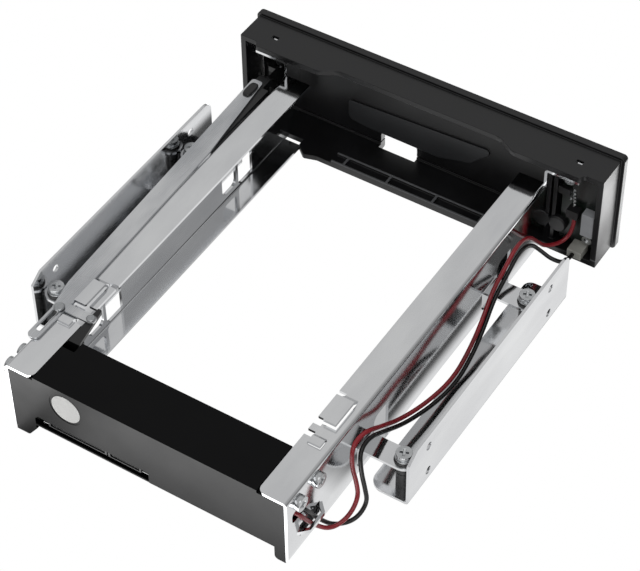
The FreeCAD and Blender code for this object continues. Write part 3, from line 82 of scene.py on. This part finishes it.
bpy.context.scene.camera = studio_camera()
bpy.context.scene.view_settings.view_transform = "Standard"

# Leads: the points of each route from the backplane board to the front frame, and the sizes, in millimetres
RED_ROUTE = (
    (-44.2, 84.6, 13.0), (-44.2, 84.6, 23.4), (-53.95, 84.8, 23.6), (-53.95, 77.4, 10.4),
    (-57.6, 72.8, 5.4), (-60.6, 67.2, 7.6), (-60.8, 61.8, 11.6), (-59.2, 60.4, 16.6),
    (-57.0, 59.8, 22.6), (-56.0, 57.6, 29.6), (-56.0, 50.8, 29.0), (-56.3, 42.4, 23.2),
    (-57.2, 30.6, 15.4), (-59.4, 16.8, 11.8), (-60.2, 2.0, 9.2), (-59.8, -9.5, 12.6),
    (-58.4, -19.5, 15.8), (-57.0, -28.6, 21.4), (-56.6, -37.4, 24.2), (-56.6, -45.4, 28.6),
    (-56.8, -53.6, 25.6), (-57.0, -60.6, 16.8), (-57.2, -66.6, 9.8), (-60.4, -73.2, 7.8),
    (-62.4, -76.7, 12.0), (-62.4, -76.7, 18.4),
)
BLACK_ROUTE = (
    (-44.2, 81.8, 13.0), (-44.2, 81.8, 23.4), (-53.95, 82.0, 23.6), (-53.95, 74.6, 10.4),
    (-56.8, 69.8, 3.6), (-61.4, 64.6, 3.6), (-62.8, 59.6, 8.0), (-61.4, 59.0, 13.6),
    (-59.4, 58.2, 20.2), (-57.8, 56.2, 26.6), (-57.4, 49.8, 26.6), (-57.6, 41.4, 20.8),
    (-58.3, 30.0, 13.4), (-60.5, 16.4, 9.9), (-61.3, 2.0, 7.3), (-60.9, -9.8, 10.7),
    (-59.5, -19.3, 13.9), (-58.2, -28.2, 19.4), (-57.8, -37.0, 22.2), (-57.8, -44.8, 26.4),
    (-58.0, -52.8, 23.4), (-58.8, -59.4, 14.8), (-61.2, -63.6, 8.2), (-64.9, -67.2, 5.0),
    (-64.9, -72.4, 5.0),
)
LEAD_RADIUS = 0.75
CURVE_ORDER = 3
STEPS_ALONG = 10
STEPS_ROUND = 4


def lead(name, node, route):
    """A limp round lead: a quadratic curve drawn along the route, with the insulation's radius at each point.
    The bevel is one metre deep, so a point's radius is the lead's own."""
    curve = bpy.data.curves.new(node, "CURVE")
    curve.dimensions = "3D"
    spline = curve.splines.new("NURBS")
    spline.points.add(len(route) - 1)
    for point, place in zip(spline.points, route):
        point.co = (place[0] * MM, place[1] * MM, place[2] * MM, 1.0)
        point.radius = LEAD_RADIUS * MM
    spline.order_u = CURVE_ORDER
    spline.use_endpoint_u = True
    spline.resolution_u = STEPS_ALONG
    curve.bevel_depth = 1.0
    curve.bevel_resolution = STEPS_ROUND
    curve.use_fill_caps = True
    obj = shown(name, curve)
    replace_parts(obj, node)
    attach(obj, "cage")
    return obj


red_lead = lead("lead_red", "red_lead", RED_ROUTE)
black_lead = lead("lead_black", "black_lead", BLACK_ROUTE)

# Materials: the numbers of a Mix node's colour sockets, and levels that rise or fall over a span
MIX_FIRST = 6
MIX_SECOND = 7
MIX_RESULT = 2
RISING = (0.0, 1.0)
FALLING = (1.0, 0.0)


def linear(hex_colour):
    """Linear colour of an sRGB hex value, by the standard's own curve."""
    channels = [int(hex_colour[i:i + 2], 16) / 255 for i in (0, 2, 4)]
    return tuple(c / 12.92 if c <= 0.04045 else ((c + 0.055) / 1.055) ** 2.4 for c in channels) + (1.0,)


def surface(name, **sockets):
    """A new node material; returns it and its shader, with constant sockets set."""
    mat = bpy.data.materials.new(name)
    mat.use_nodes = True
    shader = mat.node_tree.nodes["Principled BSDF"]
    for key, value in sockets.items():
        shader.inputs[key.replace("_", " ")].default_value = value
    return mat, shader


def add(mat, kind, inputs=(), **settings):
    """Adds a node with its settings; each input is a value or another node's output."""
    node = mat.node_tree.nodes.new(kind)
    for key, value in settings.items():
        setattr(node, key, value)
    for key, value in dict(inputs).items():
        if isinstance(value, bpy.types.NodeSocket):
            mat.node_tree.links.new(value, node.inputs[key])
        else:
            node.inputs[key].default_value = value
    return node


def link(mat, output, socket):
    """Feeds a socket from another node's output."""
    mat.node_tree.links.new(output, socket)


def axes(mat, space="Object"):
    """Outputs X, Y and Z of the place in one of the texture spaces."""
    place = add(mat, "ShaderNodeTexCoord").outputs[space]
    return add(mat, "ShaderNodeSeparateXYZ", {"Vector": place}).outputs


def spread(mat, source, span, levels):
    """Maps the two ends of a span to two levels, which hold beyond the ends."""
    (low, high), (low_level, high_level) = span, levels
    ends = {"Value": source, "From Min": low, "From Max": high, "To Min": low_level, "To Max": high_level}
    return add(mat, "ShaderNodeMapRange", ends).outputs["Result"]


def chained(mat, operation, first, *others):
    """Works the first value with the second, the outcome with the third, and so on."""
    for other in others:
        first = add(mat, "ShaderNodeMath", {0: first, 1: other}, operation=operation).outputs[0]
    return first


def colours(mat, factor, first, second):
    """Mix of two colours, each a hex value or another node's output."""
    first, second = [linear(colour) if isinstance(colour, str) else colour for colour in (first, second)]
    inputs = {"Factor": factor, MIX_FIRST: first, MIX_SECOND: second}
    return add(mat, "ShaderNodeMix", inputs, data_type="RGBA").outputs[MIX_RESULT]


# Patterns: cells and depths in millimetres, stretch, detail, the part of the noise's range that is used, and
# how far it moves the roughness: a change for mouldings, a share for metals
SPARK_GRAIN = 0.154
FLOW_MARK = 14.3
HAIRLINE = 0.1923
HANDLING_SMEAR = 12.5
MOTTLE = 1.11
TINT_CLOUD = 3.33
EVENLY = (1.0, 1.0, 1.0)
LONG_IN_Y = (1.0, 0.02, 1.0)
LONGER_IN_Y = (1.0, 0.35, 1.0)
PLAIN_DETAIL = 3.0
FINE_DETAIL = 4.0
FINEST_DETAIL = 5.0
NOISE_CORE = (0.35, 0.65)
NOISE_SPAN = (0.3, 0.7)
TWO_NOISES_SPAN = (0.7, 1.3)
GRAIN_DEPTH = 0.020
HAIRLINE_DEPTH = 0.015
MOULDED_ROUGHNESS_CHANGE = 0.06
ROLLED_ROUGHNESS = (0.7, 1.35)
TURNED_ROUGHNESS = (0.8, 1.3)
ACRYLIC_ROUGHNESS = (0.06, 0.12)


def pattern(mat, cell, stretch=EVENLY, detail=PLAIN_DETAIL):
    """Noise in the object's own space, its cells this many millimetres across, divided by the stretch."""
    space = add(mat, "ShaderNodeTexCoord").outputs["Object"]
    placed = add(mat, "ShaderNodeMapping", {"Vector": space, "Scale": stretch}).outputs["Vector"]
    noise = add(mat, "ShaderNodeTexNoise", {"Vector": placed, "Scale": 1 / (cell * MM), "Detail": detail})
    return noise.outputs["Fac"]


def relief(mat, shader, height, strength, depth):
    """Lets a pattern stand up by a depth in millimetres."""
    bump = add(mat, "ShaderNodeBump", {"Height": height, "Strength": strength, "Distance": depth * MM})
    link(mat, bump.outputs["Normal"], shader.inputs["Normal"])


def moulded(name, dark, light, rough, gloss, grain):
    """Injection moulding: the spark-eroded grain of its tool, and soft flow marks in tone and gloss."""
    mat, shader = surface(name, Specular_IOR_Level=gloss)
    flow = pattern(mat, FLOW_MARK, detail=FINE_DETAIL)
    flow_gloss = (rough - MOULDED_ROUGHNESS_CHANGE, rough + MOULDED_ROUGHNESS_CHANGE)
    link(mat, colours(mat, spread(mat, flow, NOISE_CORE, RISING), dark, light), shader.inputs["Base Color"])
    link(mat, spread(mat, flow, NOISE_SPAN, flow_gloss), shader.inputs["Roughness"])
    relief(mat, shader, pattern(mat, SPARK_GRAIN), grain, GRAIN_DEPTH)
    return mat


def rolled(name, dark, light, rough, grain):
    """Bright rolled sheet: hairline grain drawn along Y, with faint handling smears in tone and gloss."""
    mat, shader = surface(name, Metallic=1.0)
    hair = pattern(mat, HAIRLINE, LONG_IN_Y, FINE_DETAIL)
    smear = pattern(mat, HANDLING_SMEAR, LONGER_IN_Y, FINEST_DETAIL)
    both = chained(mat, "ADD", hair, smear)
    grain_gloss = [rough * share for share in ROLLED_ROUGHNESS]
    link(mat, colours(mat, spread(mat, smear, NOISE_SPAN, RISING), dark, light), shader.inputs["Base Color"])
    link(mat, spread(mat, both, TWO_NOISES_SPAN, grain_gloss), shader.inputs["Roughness"])
    relief(mat, shader, hair, grain, HAIRLINE_DEPTH)
    return mat


def turned_metal(name, dark, light, rough):
    """Turned or plated small part: fine mottling in tone and gloss."""
    mat, shader = surface(name, Metallic=1.0)
    mottle = pattern(mat, MOTTLE, detail=FINE_DETAIL)
    mottle_gloss = [rough * share for share in TURNED_ROUGHNESS]
    link(mat, colours(mat, mottle, dark, light), shader.inputs["Base Color"])
    link(mat, spread(mat, mottle, NOISE_SPAN, mottle_gloss), shader.inputs["Roughness"])
    return mat


def clear_acrylic():
    """Polished acrylic of the lamp: clear, with faint clouds in tint and gloss."""
    mat, shader = surface("clear_moulded_acrylic", IOR=1.49, Transmission_Weight=0.9)
    link(mat, colours(mat, pattern(mat, TINT_CLOUD), "E2E9EE", "F2F6F8"), shader.inputs["Base Color"])
    link(mat, spread(mat, pattern(mat, MOTTLE), NOISE_SPAN, ACRYLIC_ROUGHNESS), shader.inputs["Roughness"])
    return mat


# Stainless sheet, bright rolled: mirror-like, softened by the rolling grain
stainless = rolled("bright_rolled_stainless_sheet", "D6D7D9", "E6E7E8", rough=0.10, grain=0.15)
# Strip steel, rolled and left so: grey streaks along it and broad reflections
strip_steel = rolled("streaky_rolled_strip_steel", "B4B6B9", "E4E5E6", rough=0.30, grain=0.5)
# Steel with bright zinc plating: pale grey with sharp glints
zinc = turned_metal("zinc_plated_steel", "A2A4A6", "D2D4D5", rough=0.16)
# Steel pins and rivets, turned: a darker grey with soft glints
pin_steel = turned_metal("turned_steel_pin", "9A9C9E", "B8BABC", rough=0.28)
# Tin solder, laid by hand: pale, with rounded glints
solder = turned_metal("hand_soldered_tin", "C2C4C6", "E6E7E8", rough=0.30)
# Contacts with a flash of gold: warm yellow metal
gold = turned_metal("gold_flashed_contact", "B98F3E", "E0BE6C", rough=0.25)
# Black ABS, moulded in a spark-eroded tool: satin, grey where it catches the sky
SATIN_BLACK = {"dark": "0B0B0C", "light": "131315", "rough": 0.36, "gloss": 0.5, "grain": 0.5}
# The frame's material also carries a painted highlight on the lip's rib tops, laid on below
abs_frame = moulded("satin_black_moulded_abs_painted_rib_highlight", **SATIN_BLACK)
# The door's material also carries a painted sheen on the face of its raised field, laid on below
abs_door = moulded("satin_black_moulded_abs_panel_painted_sheen", **SATIN_BLACK)
# The cover's black ABS, from a finer tool: almost black on top
abs_housing = moulded("matt_black_moulded_abs_cover", "020203", "040405", rough=0.34, gloss=0.11, grain=0.25)
# Grey ABS of the button and the lock slide: one step lighter than the frame
abs_grey = moulded("dark_grey_moulded_abs", "2B2C2F", "333438", rough=0.45, gloss=0.5, grain=0.4)
# Acetal, moulded: black and a little waxy
acetal = moulded("black_moulded_acetal", "0A0A0B", "0F0F10", rough=0.30, gloss=0.5, grain=0.15)
# Rubber, moulded: greyish black, its highlights wide
rubber = moulded("grey_black_moulded_rubber", "1C1C1C", "2A2A2A", rough=0.42, gloss=0.6, grain=0.4)
# Glass-filled nylon of the connectors: matt black
connector = moulded("black_moulded_nylon_connector", "0E0E0F", "161617", rough=0.45, gloss=0.5, grain=0.4)
# Natural nylon of the lead's plug: ivory
nylon = moulded("natural_moulded_nylon", "C9C6BA", "DEDBD0", rough=0.40, gloss=0.5, grain=0.2)
# Unfilled nylon of the front plug: cloudy, with wet-looking glints
clear_nylon = moulded("cloudy_clear_moulded_nylon", "8E8E88", "B9B9B2", rough=0.25, gloss=0.6, grain=0.1)
# Nylon of the terminal block, moulded: light grey, without shine
terminal = moulded("grey_moulded_terminal", "8B8D90", "A6A8AB", rough=0.45, gloss=0.5, grain=0.2)
# Label paper, coated: white, without any print
paper = moulded("coated_white_paper_label", "E6E6E4", "F2F2F0", rough=0.55, gloss=0.3, grain=0.1)
# Solder resist over the boards: very dark green, glossy
resist = moulded("dark_green_solder_resist", "040A06", "0A1A10", rough=0.30, gloss=0.5, grain=0.1)
# Epoxy of the chip and the choke: dull black
epoxy = moulded("black_moulded_epoxy_package", "101011", "1A1A1B", rough=0.40, gloss=0.5, grain=0.3)
# Insulation, extruded: smooth, with one long highlight
red_pvc = moulded("red_extruded_pvc", "76141D", "9C202B", rough=0.30, gloss=0.5, grain=0.05)
black_pvc = moulded("black_extruded_pvc", "060505", "0E0C0D", rough=0.30, gloss=0.45, grain=0.05)
acrylic = clear_acrylic()

# Where the black ABS is painted greyer, in metres: a painted highlight on top of the lip's ribs, and a
# painted sheen on the raised field of the door's back
RIB_TOPS_Z = (0.0039, 0.0045)
LIP_Y = (-0.0745, -0.0600)
FIELD_FACE_Y = (-0.0864, -0.0860)
BAND_SOFTNESS = 0.0001
# Painted highlight: the grey laid on the tops of the lip's ribs
RIB_TOP_PAINTED_HIGHLIGHT_GREY = "5E5F61"
# Painted sheen: the grey laid on the face of the door's raised field
FIELD_PAINTED_SHEEN_GREY = "2A2B2D"


def band(mat, value, span):
    """Mask that is 1 where the value lies in the span, softened within each end."""
    low, high = span
    return chained(mat, "MULTIPLY", spread(mat, value, (low, low + BAND_SOFTNESS), RISING),
                   spread(mat, value, (high - BAND_SOFTNESS, high), FALLING))


def toned(mat, mask, hex_colour):
    """Lays a second colour over a finish where the mask is 1."""
    base = mat.node_tree.nodes["Principled BSDF"].inputs["Base Color"]
    link(mat, colours(mat, mask, base.links[0].from_socket, hex_colour), base)


frame_place = axes(abs_frame)
# Painted highlight on the tops of the lip's ribs
painted_highlight_on_rib_tops = chained(abs_frame, "MULTIPLY", band(abs_frame, frame_place["Z"], RIB_TOPS_Z),
                   band(abs_frame, frame_place["Y"], LIP_Y))
toned(abs_frame, painted_highlight_on_rib_tops, RIB_TOP_PAINTED_HIGHLIGHT_GREY)
# Painted sheen on the face of the door's raised field
toned(abs_door, band(abs_door, axes(abs_door)["Y"], FIELD_FACE_Y), FIELD_PAINTED_SHEEN_GREY)

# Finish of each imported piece, and the radius of its softened edges in millimetres
SHEET_EDGE = 0.09
MOULDED_EDGE = 0.22
FINE_EDGE = 0.10
SHARP = 0.0
FINISHES = (
    (abs_frame, MOULDED_EDGE, ("bezel_frame",)),
    (abs_door, MOULDED_EDGE, ("front_door",)),
    (abs_housing, MOULDED_EDGE, ("backplane_housing",)),
    (abs_grey, FINE_EDGE, ("lock_slide",)),
    (abs_grey, SHARP, ("power_button",)),
    (stainless, SHARP, ("left_rail", "right_rail")),
    (stainless, SHEET_EDGE, ("left_side_plate", "right_side_plate")),
    (strip_steel, SHEET_EDGE, ("ejector_strip",)),
    (pin_steel, SHARP, ("door_hinge_pin", "crank_pin")),
    (pin_steel, FINE_EDGE, ("link_rivets", "guide_rivet")),
    (zinc, FINE_EDGE, ("mount_washers", "mount_screws", "board_screws", "housing_screws")),
    (zinc, SHARP, ("control_screws",)),
    (rubber, SHARP, ("mount_posts", "rubber_bushes")),
    (acetal, FINE_EDGE, ("ejector_pull", "ejector_pusher")),
    (connector, FINE_EDGE, ("drive_socket", "power_plug", "data_plug", "board_socket", "tact_switch")),
    (gold, SHARP, ("socket_contacts", "plug_contacts")),
    (nylon, FINE_EDGE, ("lead_header", "header_plug")),
    (clear_nylon, MOULDED_EDGE, ("lead_plug",)),
    (terminal, FINE_EDGE, ("board_terminal",)),
    (resist, SHARP, ("backplane_board", "control_board")),
    (acrylic, SHARP, ("lamp_lens", "status_lamp")),
)
CLOSE_EDGED = ("backplane_housing",)
WELD_GAP = 1e-7
FLAT_ANGLE = math.radians(0.5)
CREASE_ANGLE = math.radians(38)
EDGE_STEPS = 2


def soften(node, obj, edge):
    """Joins the solid's triangles, makes its flats one face each and rounds its creases. On the close-edged
    pieces, where edges lie closer together than the radius, it is held back there."""
    weld = obj.modifiers.new("weld", "WELD")
    weld.merge_threshold = WELD_GAP
    flat = obj.modifiers.new("flat_faces", "DECIMATE")
    flat.decimate_type = "DISSOLVE"
    flat.angle_limit = FLAT_ANGLE
    soft = obj.modifiers.new("soft_edges", "BEVEL")
    soft.width = edge * MM
    soft.segments = EDGE_STEPS
    soft.limit_method = "ANGLE"
    soft.angle_limit = CREASE_ANGLE
    soft.use_clamp_overlap = node in CLOSE_EDGED
    soft.harden_normals = True


for finish, edge, nodes in FINISHES:
    for node in nodes:
        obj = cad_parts[node]
        obj.data.materials.clear()
        obj.data.materials.append(finish)
        if edge:
            soften(node, obj, edge)
red_lead.data.materials.append(red_pvc)
black_lead.data.materials.append(black_pvc)


# Small pieces that only the scene has, in millimetres
def closed_surface(name, rings, finish, body):
    """A piece from an array of rings (rings, points, 3): quads between neighbouring rings, and a flat cap on
    the first and last one."""
    count, sides = rings.shape[:2]
    index = np.arange(count * sides).reshape(count, sides)
    ahead = np.roll(index, -1, axis=1)
    walls = np.stack((index[:-1], ahead[:-1], ahead[1:], index[1:]), axis=-1).reshape(-1, 4)
    faces = walls.tolist() + [index[0][::-1].tolist(), index[-1].tolist()]
    mesh = bpy.data.meshes.new(name)
    mesh.from_pydata((rings.reshape(-1, 3) * MM).tolist(), [], faces)
    mesh.materials.append(finish)
    mesh.validate()
    obj = shown(name, mesh)
    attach(obj, body)
    return obj


def raised(place, half_u, half_v, profile, power=2.0, sides=32):
    """Rings that rise from a place. The outline is the superellipse |u|^power + |v|^power = 1 along the half
    widths half_u and half_v, two vectors; the profile gives height and size, and each ring is
    place + height * direction + size * outline, where the direction is half_u x half_v, made one long."""
    turn = np.linspace(0, 2 * math.pi, sides, endpoint=False)
    u, v = [np.sign(share) * np.abs(share) ** (2 / power) for share in (np.cos(turn), np.sin(turn))]
    direction = np.cross(half_u, half_v)
    direction = direction / np.linalg.norm(direction)
    outline = u[:, None] * np.array(half_u) + v[:, None] * np.array(half_v)
    height, size = np.array(profile).T[:, :, None, None]
    return np.array(place) + height * direction + size * outline


def carried(profile, ends):
    """Two rings: a profile of (y, z), carried straight along X from one end to the other."""
    rings = np.empty((len(ends), len(profile), 3))
    rings[..., 0] = np.array(ends)[:, None]
    rings[..., 1:] = profile
    return rings


# Clip on the ejector strip's nose
STRIP_TOP_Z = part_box("ejector_strip")[1].z / MM
CLIP_PLACE = (58.4, -58.2, STRIP_TOP_Z)
CLIP_HALF_WIDTH = 1.7
CLIP_HALF_LENGTH = 3.6
CLIP_SQUARENESS = 10 / 3
CLIP_PROFILE = ((0.0, 1.0), (0.45, 1.0), (0.75, 0.93), (0.9, 0.78))
clip = raised(CLIP_PLACE, (CLIP_HALF_WIDTH, 0, 0), (0, CLIP_HALF_LENGTH, 0), CLIP_PROFILE,
              power=CLIP_SQUARENESS, sides=40)
closed_surface("strip_nose_clip", clip, acetal, "ejector")

# Round label on the cover's rear wall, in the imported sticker's place
sticker_low, sticker_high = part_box("round_sticker")
LABEL_PLACE = tuple((sticker_low + sticker_high) / (2 * MM))
LABEL_HALF_THICKNESS = 0.075
LABEL_RADIUS = 5.5
LABEL_PROFILE = (
    (-LABEL_HALF_THICKNESS, 1.0), (LABEL_HALF_THICKNESS - 0.02, 1.0), (LABEL_HALF_THICKNESS, 0.995),
)
label = raised(LABEL_PLACE, (-LABEL_RADIUS, 0, 0), (0, 0, LABEL_RADIUS), LABEL_PROFILE, sides=64)
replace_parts(closed_surface("round_label", label, paper, "cage"), "round_sticker")

# Lower lip of the rear connector slot, moulded in one with the cover on the real cage
COVER_REAR_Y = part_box("backplane_housing")[1].y / MM
SLOT_ENDS_X = (-1.6, 43.9)
LIP_LOW_Z = 9.3
LIP_HIGH_Z = 10.1
LIP_DEPTH = 1.85
LIP_INSET = 0.05
LIP_CHAMFER = 0.2
LIP_REAR_Y = COVER_REAR_Y - LIP_INSET
LIP_FRONT_Y = LIP_REAR_Y - LIP_DEPTH
LIP_PROFILE = (
    (LIP_REAR_Y, LIP_LOW_Z),
    (LIP_REAR_Y, LIP_HIGH_Z - LIP_CHAMFER),
    (LIP_REAR_Y - LIP_CHAMFER, LIP_HIGH_Z),
    (LIP_FRONT_Y, LIP_HIGH_Z),
    (LIP_FRONT_Y, LIP_LOW_Z),
)
closed_surface("slot_lower_lip", carried(LIP_PROFILE, SLOT_ENDS_X), abs_housing, "cage")

# Parts soldered on the control board: places in X and Z, and profiles of height and size
BOARD_REAR_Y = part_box("control_board")[1].y / MM
PINS = 6
JOINT_ROW = ((-60.8, 28.6), (-61.4, 20.4))
JOINT_RADIUS = 0.55
JOINT_PROFILE = ((0.0, 1.0), (0.2, 0.8), (0.5, 0.45), (0.9, 0.36), (1.1, 0.15))
LOW_JOINT_STEP = (1.5, 0.5)
LOW_JOINT_RADIUS = 0.45
LOW_JOINT_PROFILE = ((0.0, 1.0), (0.2, 0.7), (0.5, 0.4), (0.7, 0.2))
CHOKE_PLACE = (-56.0, 11.5)
CHOKE_RADIUS = 3.4
CHOKE_PROFILE = ((0.0, 1.0), (1.6, 1.0), (1.9, 0.94), (2.0, 0.85), (2.0, 0.3))
CHIP_PLACE = (-57.4, 27.6)
CHIP_HALF_WIDTH = 2.3
CHIP_HALF_HEIGHT = 1.6
CHIP_SQUARENESS = 12.0
CHIP_PROFILE = ((0.0, 1.0), (1.0, 1.0), (1.3, 0.93))


def on_board(name, place, half_x, half_z, profile, finish, **outline):
    """A piece that stands on the board's rear face and tapers toward the rear."""
    foot = (place[0], BOARD_REAR_Y, place[1])
    closed_surface(name, raised(foot, (-half_x, 0, 0), (0, 0, half_z), profile, **outline), finish, "cage")


for pin, joint in enumerate(np.linspace(*JOINT_ROW, PINS)):
    on_board("solder_joint_%d" % pin, joint, JOINT_RADIUS, JOINT_RADIUS, JOINT_PROFILE, solder)
    if pin % 2:
        on_board("solder_joint_low_%d" % pin, joint + LOW_JOINT_STEP, LOW_JOINT_RADIUS, LOW_JOINT_RADIUS,
                 LOW_JOINT_PROFILE, solder)
on_board("round_choke", CHOKE_PLACE, CHOKE_RADIUS, CHOKE_RADIUS, CHOKE_PROFILE, epoxy, sides=40)
on_board("chip_package", CHIP_PLACE, CHIP_HALF_WIDTH, CHIP_HALF_HEIGHT, CHIP_PROFILE, epoxy,
         power=CHIP_SQUARENESS, sides=48)

# Floor: strengths of its painted glow and painted shade, and the spans in metres over which each change runs,
# |x| or |y| where it is the same on both sides
WHITE = "FFFFFF"
WHITE_SEEN = 1.0
FLOOR_HALF = 3.0
FLOOR_Z = -0.0004
FLOOR_PALE = "F3F3F3"
FLOOR_ROUGHNESS = 0.9
# Painted pools of glow on the floor, behind and before the cage
GLOW_BEHIND = 5.0
GLOW_BEFORE = 3.5
BEHIND_Y = (0.088, 0.120)
BEFORE_Y = (-0.076, -0.110)
GLOW_ENDS_Y = (0.150, 0.185)
GLOW_ENDS_X = (0.095, 0.115)
# Painted shadow of the cage on the floor's glow, between rails and plates
GUTTER_SHADE = 0.92
GUTTER_INNER_X = (0.0565, 0.0590)
GUTTER_OUTER_X = (0.070, 0.076)
GUTTER_REAR_Y = (0.040, 0.058)
GUTTER_FRONT_Y = (-0.092, -0.080)
# Painted shade on the floor's glow beside the far rail, in long streaks
FAR_RAIL_SHADE = 0.85
FAR_RAIL_NEARS_X = (0.030, 0.052)
FAR_RAIL_NEARS = (0.15, 1.0)
FAR_RAIL_ENDS_X = (0.052, 0.054)
PAINTED_SHADE_STREAK = 2.38
STREAK_LEVELS = (0.55, 1.15)
HORIZON_SHARE = 0.22
HORIZON_DISTANCE = (0.20, 0.55)
OUTSIDE_SHARE = 0.7
OUTSIDE_X = (0.105, 0.130)


def chosen(mat, ray, otherwise, shader):
    """One shader for a kind of ray, and another for all the rest."""
    is_ray = add(mat, "ShaderNodeLightPath").outputs[ray]
    return add(mat, "ShaderNodeMixShader", {"Fac": is_ray, 1: otherwise, 2: shader}).outputs["Shader"]


def left_of_light(mat, depth, *parts):
    """One less the product of the depth and the parts."""
    return chained(mat, "SUBTRACT", 1.0, chained(mat, "MULTIPLY", depth, *parts))


def mirrored_glow(mat):
    """What the bright steel sees of the floor: a painted glow behind and before the cage, a painted shadow of
    the cage between rails and plates, painted shade in long streaks beside the far rail, and fading with the
    distance."""
    place = axes(mat)
    across, along = [
        add(mat, "ShaderNodeMath", {0: place[axis]}, operation="ABSOLUTE").outputs[0] for axis in "XY"
    ]
    ends = chained(mat, "ADD", spread(mat, place["Y"], BEHIND_Y, (0.0, GLOW_BEHIND)),
                   spread(mat, place["Y"], BEFORE_Y, (0.0, GLOW_BEFORE)))
    glow = chained(mat, "MULTIPLY", ends, spread(mat, along, GLOW_ENDS_Y, FALLING),
                   spread(mat, across, GLOW_ENDS_X, FALLING))
    # Painted shadow of the cage between rails and plates
    gutter_painted_shadow = left_of_light(mat, GUTTER_SHADE, spread(mat, across, GUTTER_INNER_X, RISING),
                           spread(mat, across, GUTTER_OUTER_X, FALLING),
                           spread(mat, place["Y"], GUTTER_REAR_Y, FALLING),
                           spread(mat, place["Y"], GUTTER_FRONT_Y, RISING))
    # Painted shade beside the far rail, in long streaks
    streak = pattern(mat, PAINTED_SHADE_STREAK, LONG_IN_Y, FINE_DETAIL)
    far_rail_painted_shade = left_of_light(mat, FAR_RAIL_SHADE, spread(mat, place["X"], FAR_RAIL_NEARS_X, FAR_RAIL_NEARS),
                             spread(mat, place["X"], FAR_RAIL_ENDS_X, FALLING),
                             spread(mat, streak, NOISE_CORE, STREAK_LEVELS))
    from_middle = add(mat, "ShaderNodeTexCoord").outputs["Object"]
    distance = add(mat, "ShaderNodeVectorMath", {0: from_middle}, operation="LENGTH").outputs["Value"]
    return chained(mat, "MULTIPLY", chained(mat, "ADD", glow, 1.0), gutter_painted_shadow, far_rail_painted_shade,
                   spread(mat, distance, HORIZON_DISTANCE, (1.0, HORIZON_SHARE)),
                   spread(mat, across, OUTSIDE_X, (1.0, OUTSIDE_SHARE)))


def studio_floor():
    """A flat square of pale matt paint, far larger than the cage: plain white to the camera, the mirrored
    glow to what is glossy, and paint to all other light."""
    corners = [(x * FLOOR_HALF, y * FLOOR_HALF, FLOOR_Z) for x, y in ((-1, -1), (1, -1), (1, 1), (-1, 1))]
    mesh = bpy.data.meshes.new("floor")
    mesh.from_pydata(corners, [], [(0, 1, 2, 3)])
    mat, shader = surface("pale_studio_floor", Base_Color=linear(FLOOR_PALE), Roughness=FLOOR_ROUGHNESS)
    seen = add(mat, "ShaderNodeEmission", {"Strength": WHITE_SEEN}).outputs["Emission"]
    mirrored = add(mat, "ShaderNodeEmission", {"Strength": mirrored_glow(mat)}).outputs["Emission"]
    unmirrored = chosen(mat, "Is Camera Ray", shader.outputs["BSDF"], seen)
    whole = chosen(mat, "Is Glossy Ray", unmirrored, mirrored)
    link(mat, whole, mat.node_tree.nodes["Material Output"].inputs["Surface"])
    mesh.materials.append(mat)
    shown("floor", mesh)


studio_floor()

# Softboxes, all aimed at the cage: place and side in metres, power in watts
SOFTBOXES = {
    "overhead": {"place": (-0.35, 0.45, 1.75), "side": 1.0, "power": 3.2},
    "rear_fill": {"place": (-0.9, 1.2, 0.8), "side": 0.9, "power": 4.0},
}
for name, box in SOFTBOXES.items():
    lamp = bpy.data.lights.new(name, "AREA")
    lamp.energy = box["power"]
    lamp.size = box["side"]
    softbox = shown(name, lamp)
    softbox.location = box["place"]
    softbox.rotation_euler = (-softbox.location).to_track_quat("-Z", "Y").to_euler()

# Room: dim at the horizon, brighter overhead, darker toward -X, and white where the camera sees it. The spans
# are of the direction's Z and X, with its length as 1
HORIZON_LIGHT = 0.28
OVERHEAD_LIGHT = 0.62
CLIMB = (0.05, 0.6)
DARK_SIDE_SHARE = 0.7
DARK_SIDE_X = (-0.42, -0.12)


def white_light(world, strength):
    """White light of this strength from all around."""
    light = add(world, "ShaderNodeBackground", {"Color": linear(WHITE), "Strength": strength})
    return light.outputs["Background"]


def studio_room():
    """The world, whose light is the climb from horizon to overhead times the share on the dark side."""
    world = bpy.data.worlds.new("studio")
    world.use_nodes = True
    bearing = axes(world, "Generated")
    sky = chained(world, "MULTIPLY", spread(world, bearing["Z"], CLIMB, (HORIZON_LIGHT, OVERHEAD_LIGHT)),
                  spread(world, bearing["X"], DARK_SIDE_X, (DARK_SIDE_SHARE, 1.0)))
    room = chosen(world, "Is Camera Ray", white_light(world, sky), white_light(world, WHITE_SEEN))
    link(world, room, world.node_tree.nodes["World Output"].inputs["Surface"])
    return world


bpy.context.scene.world = studio_room()
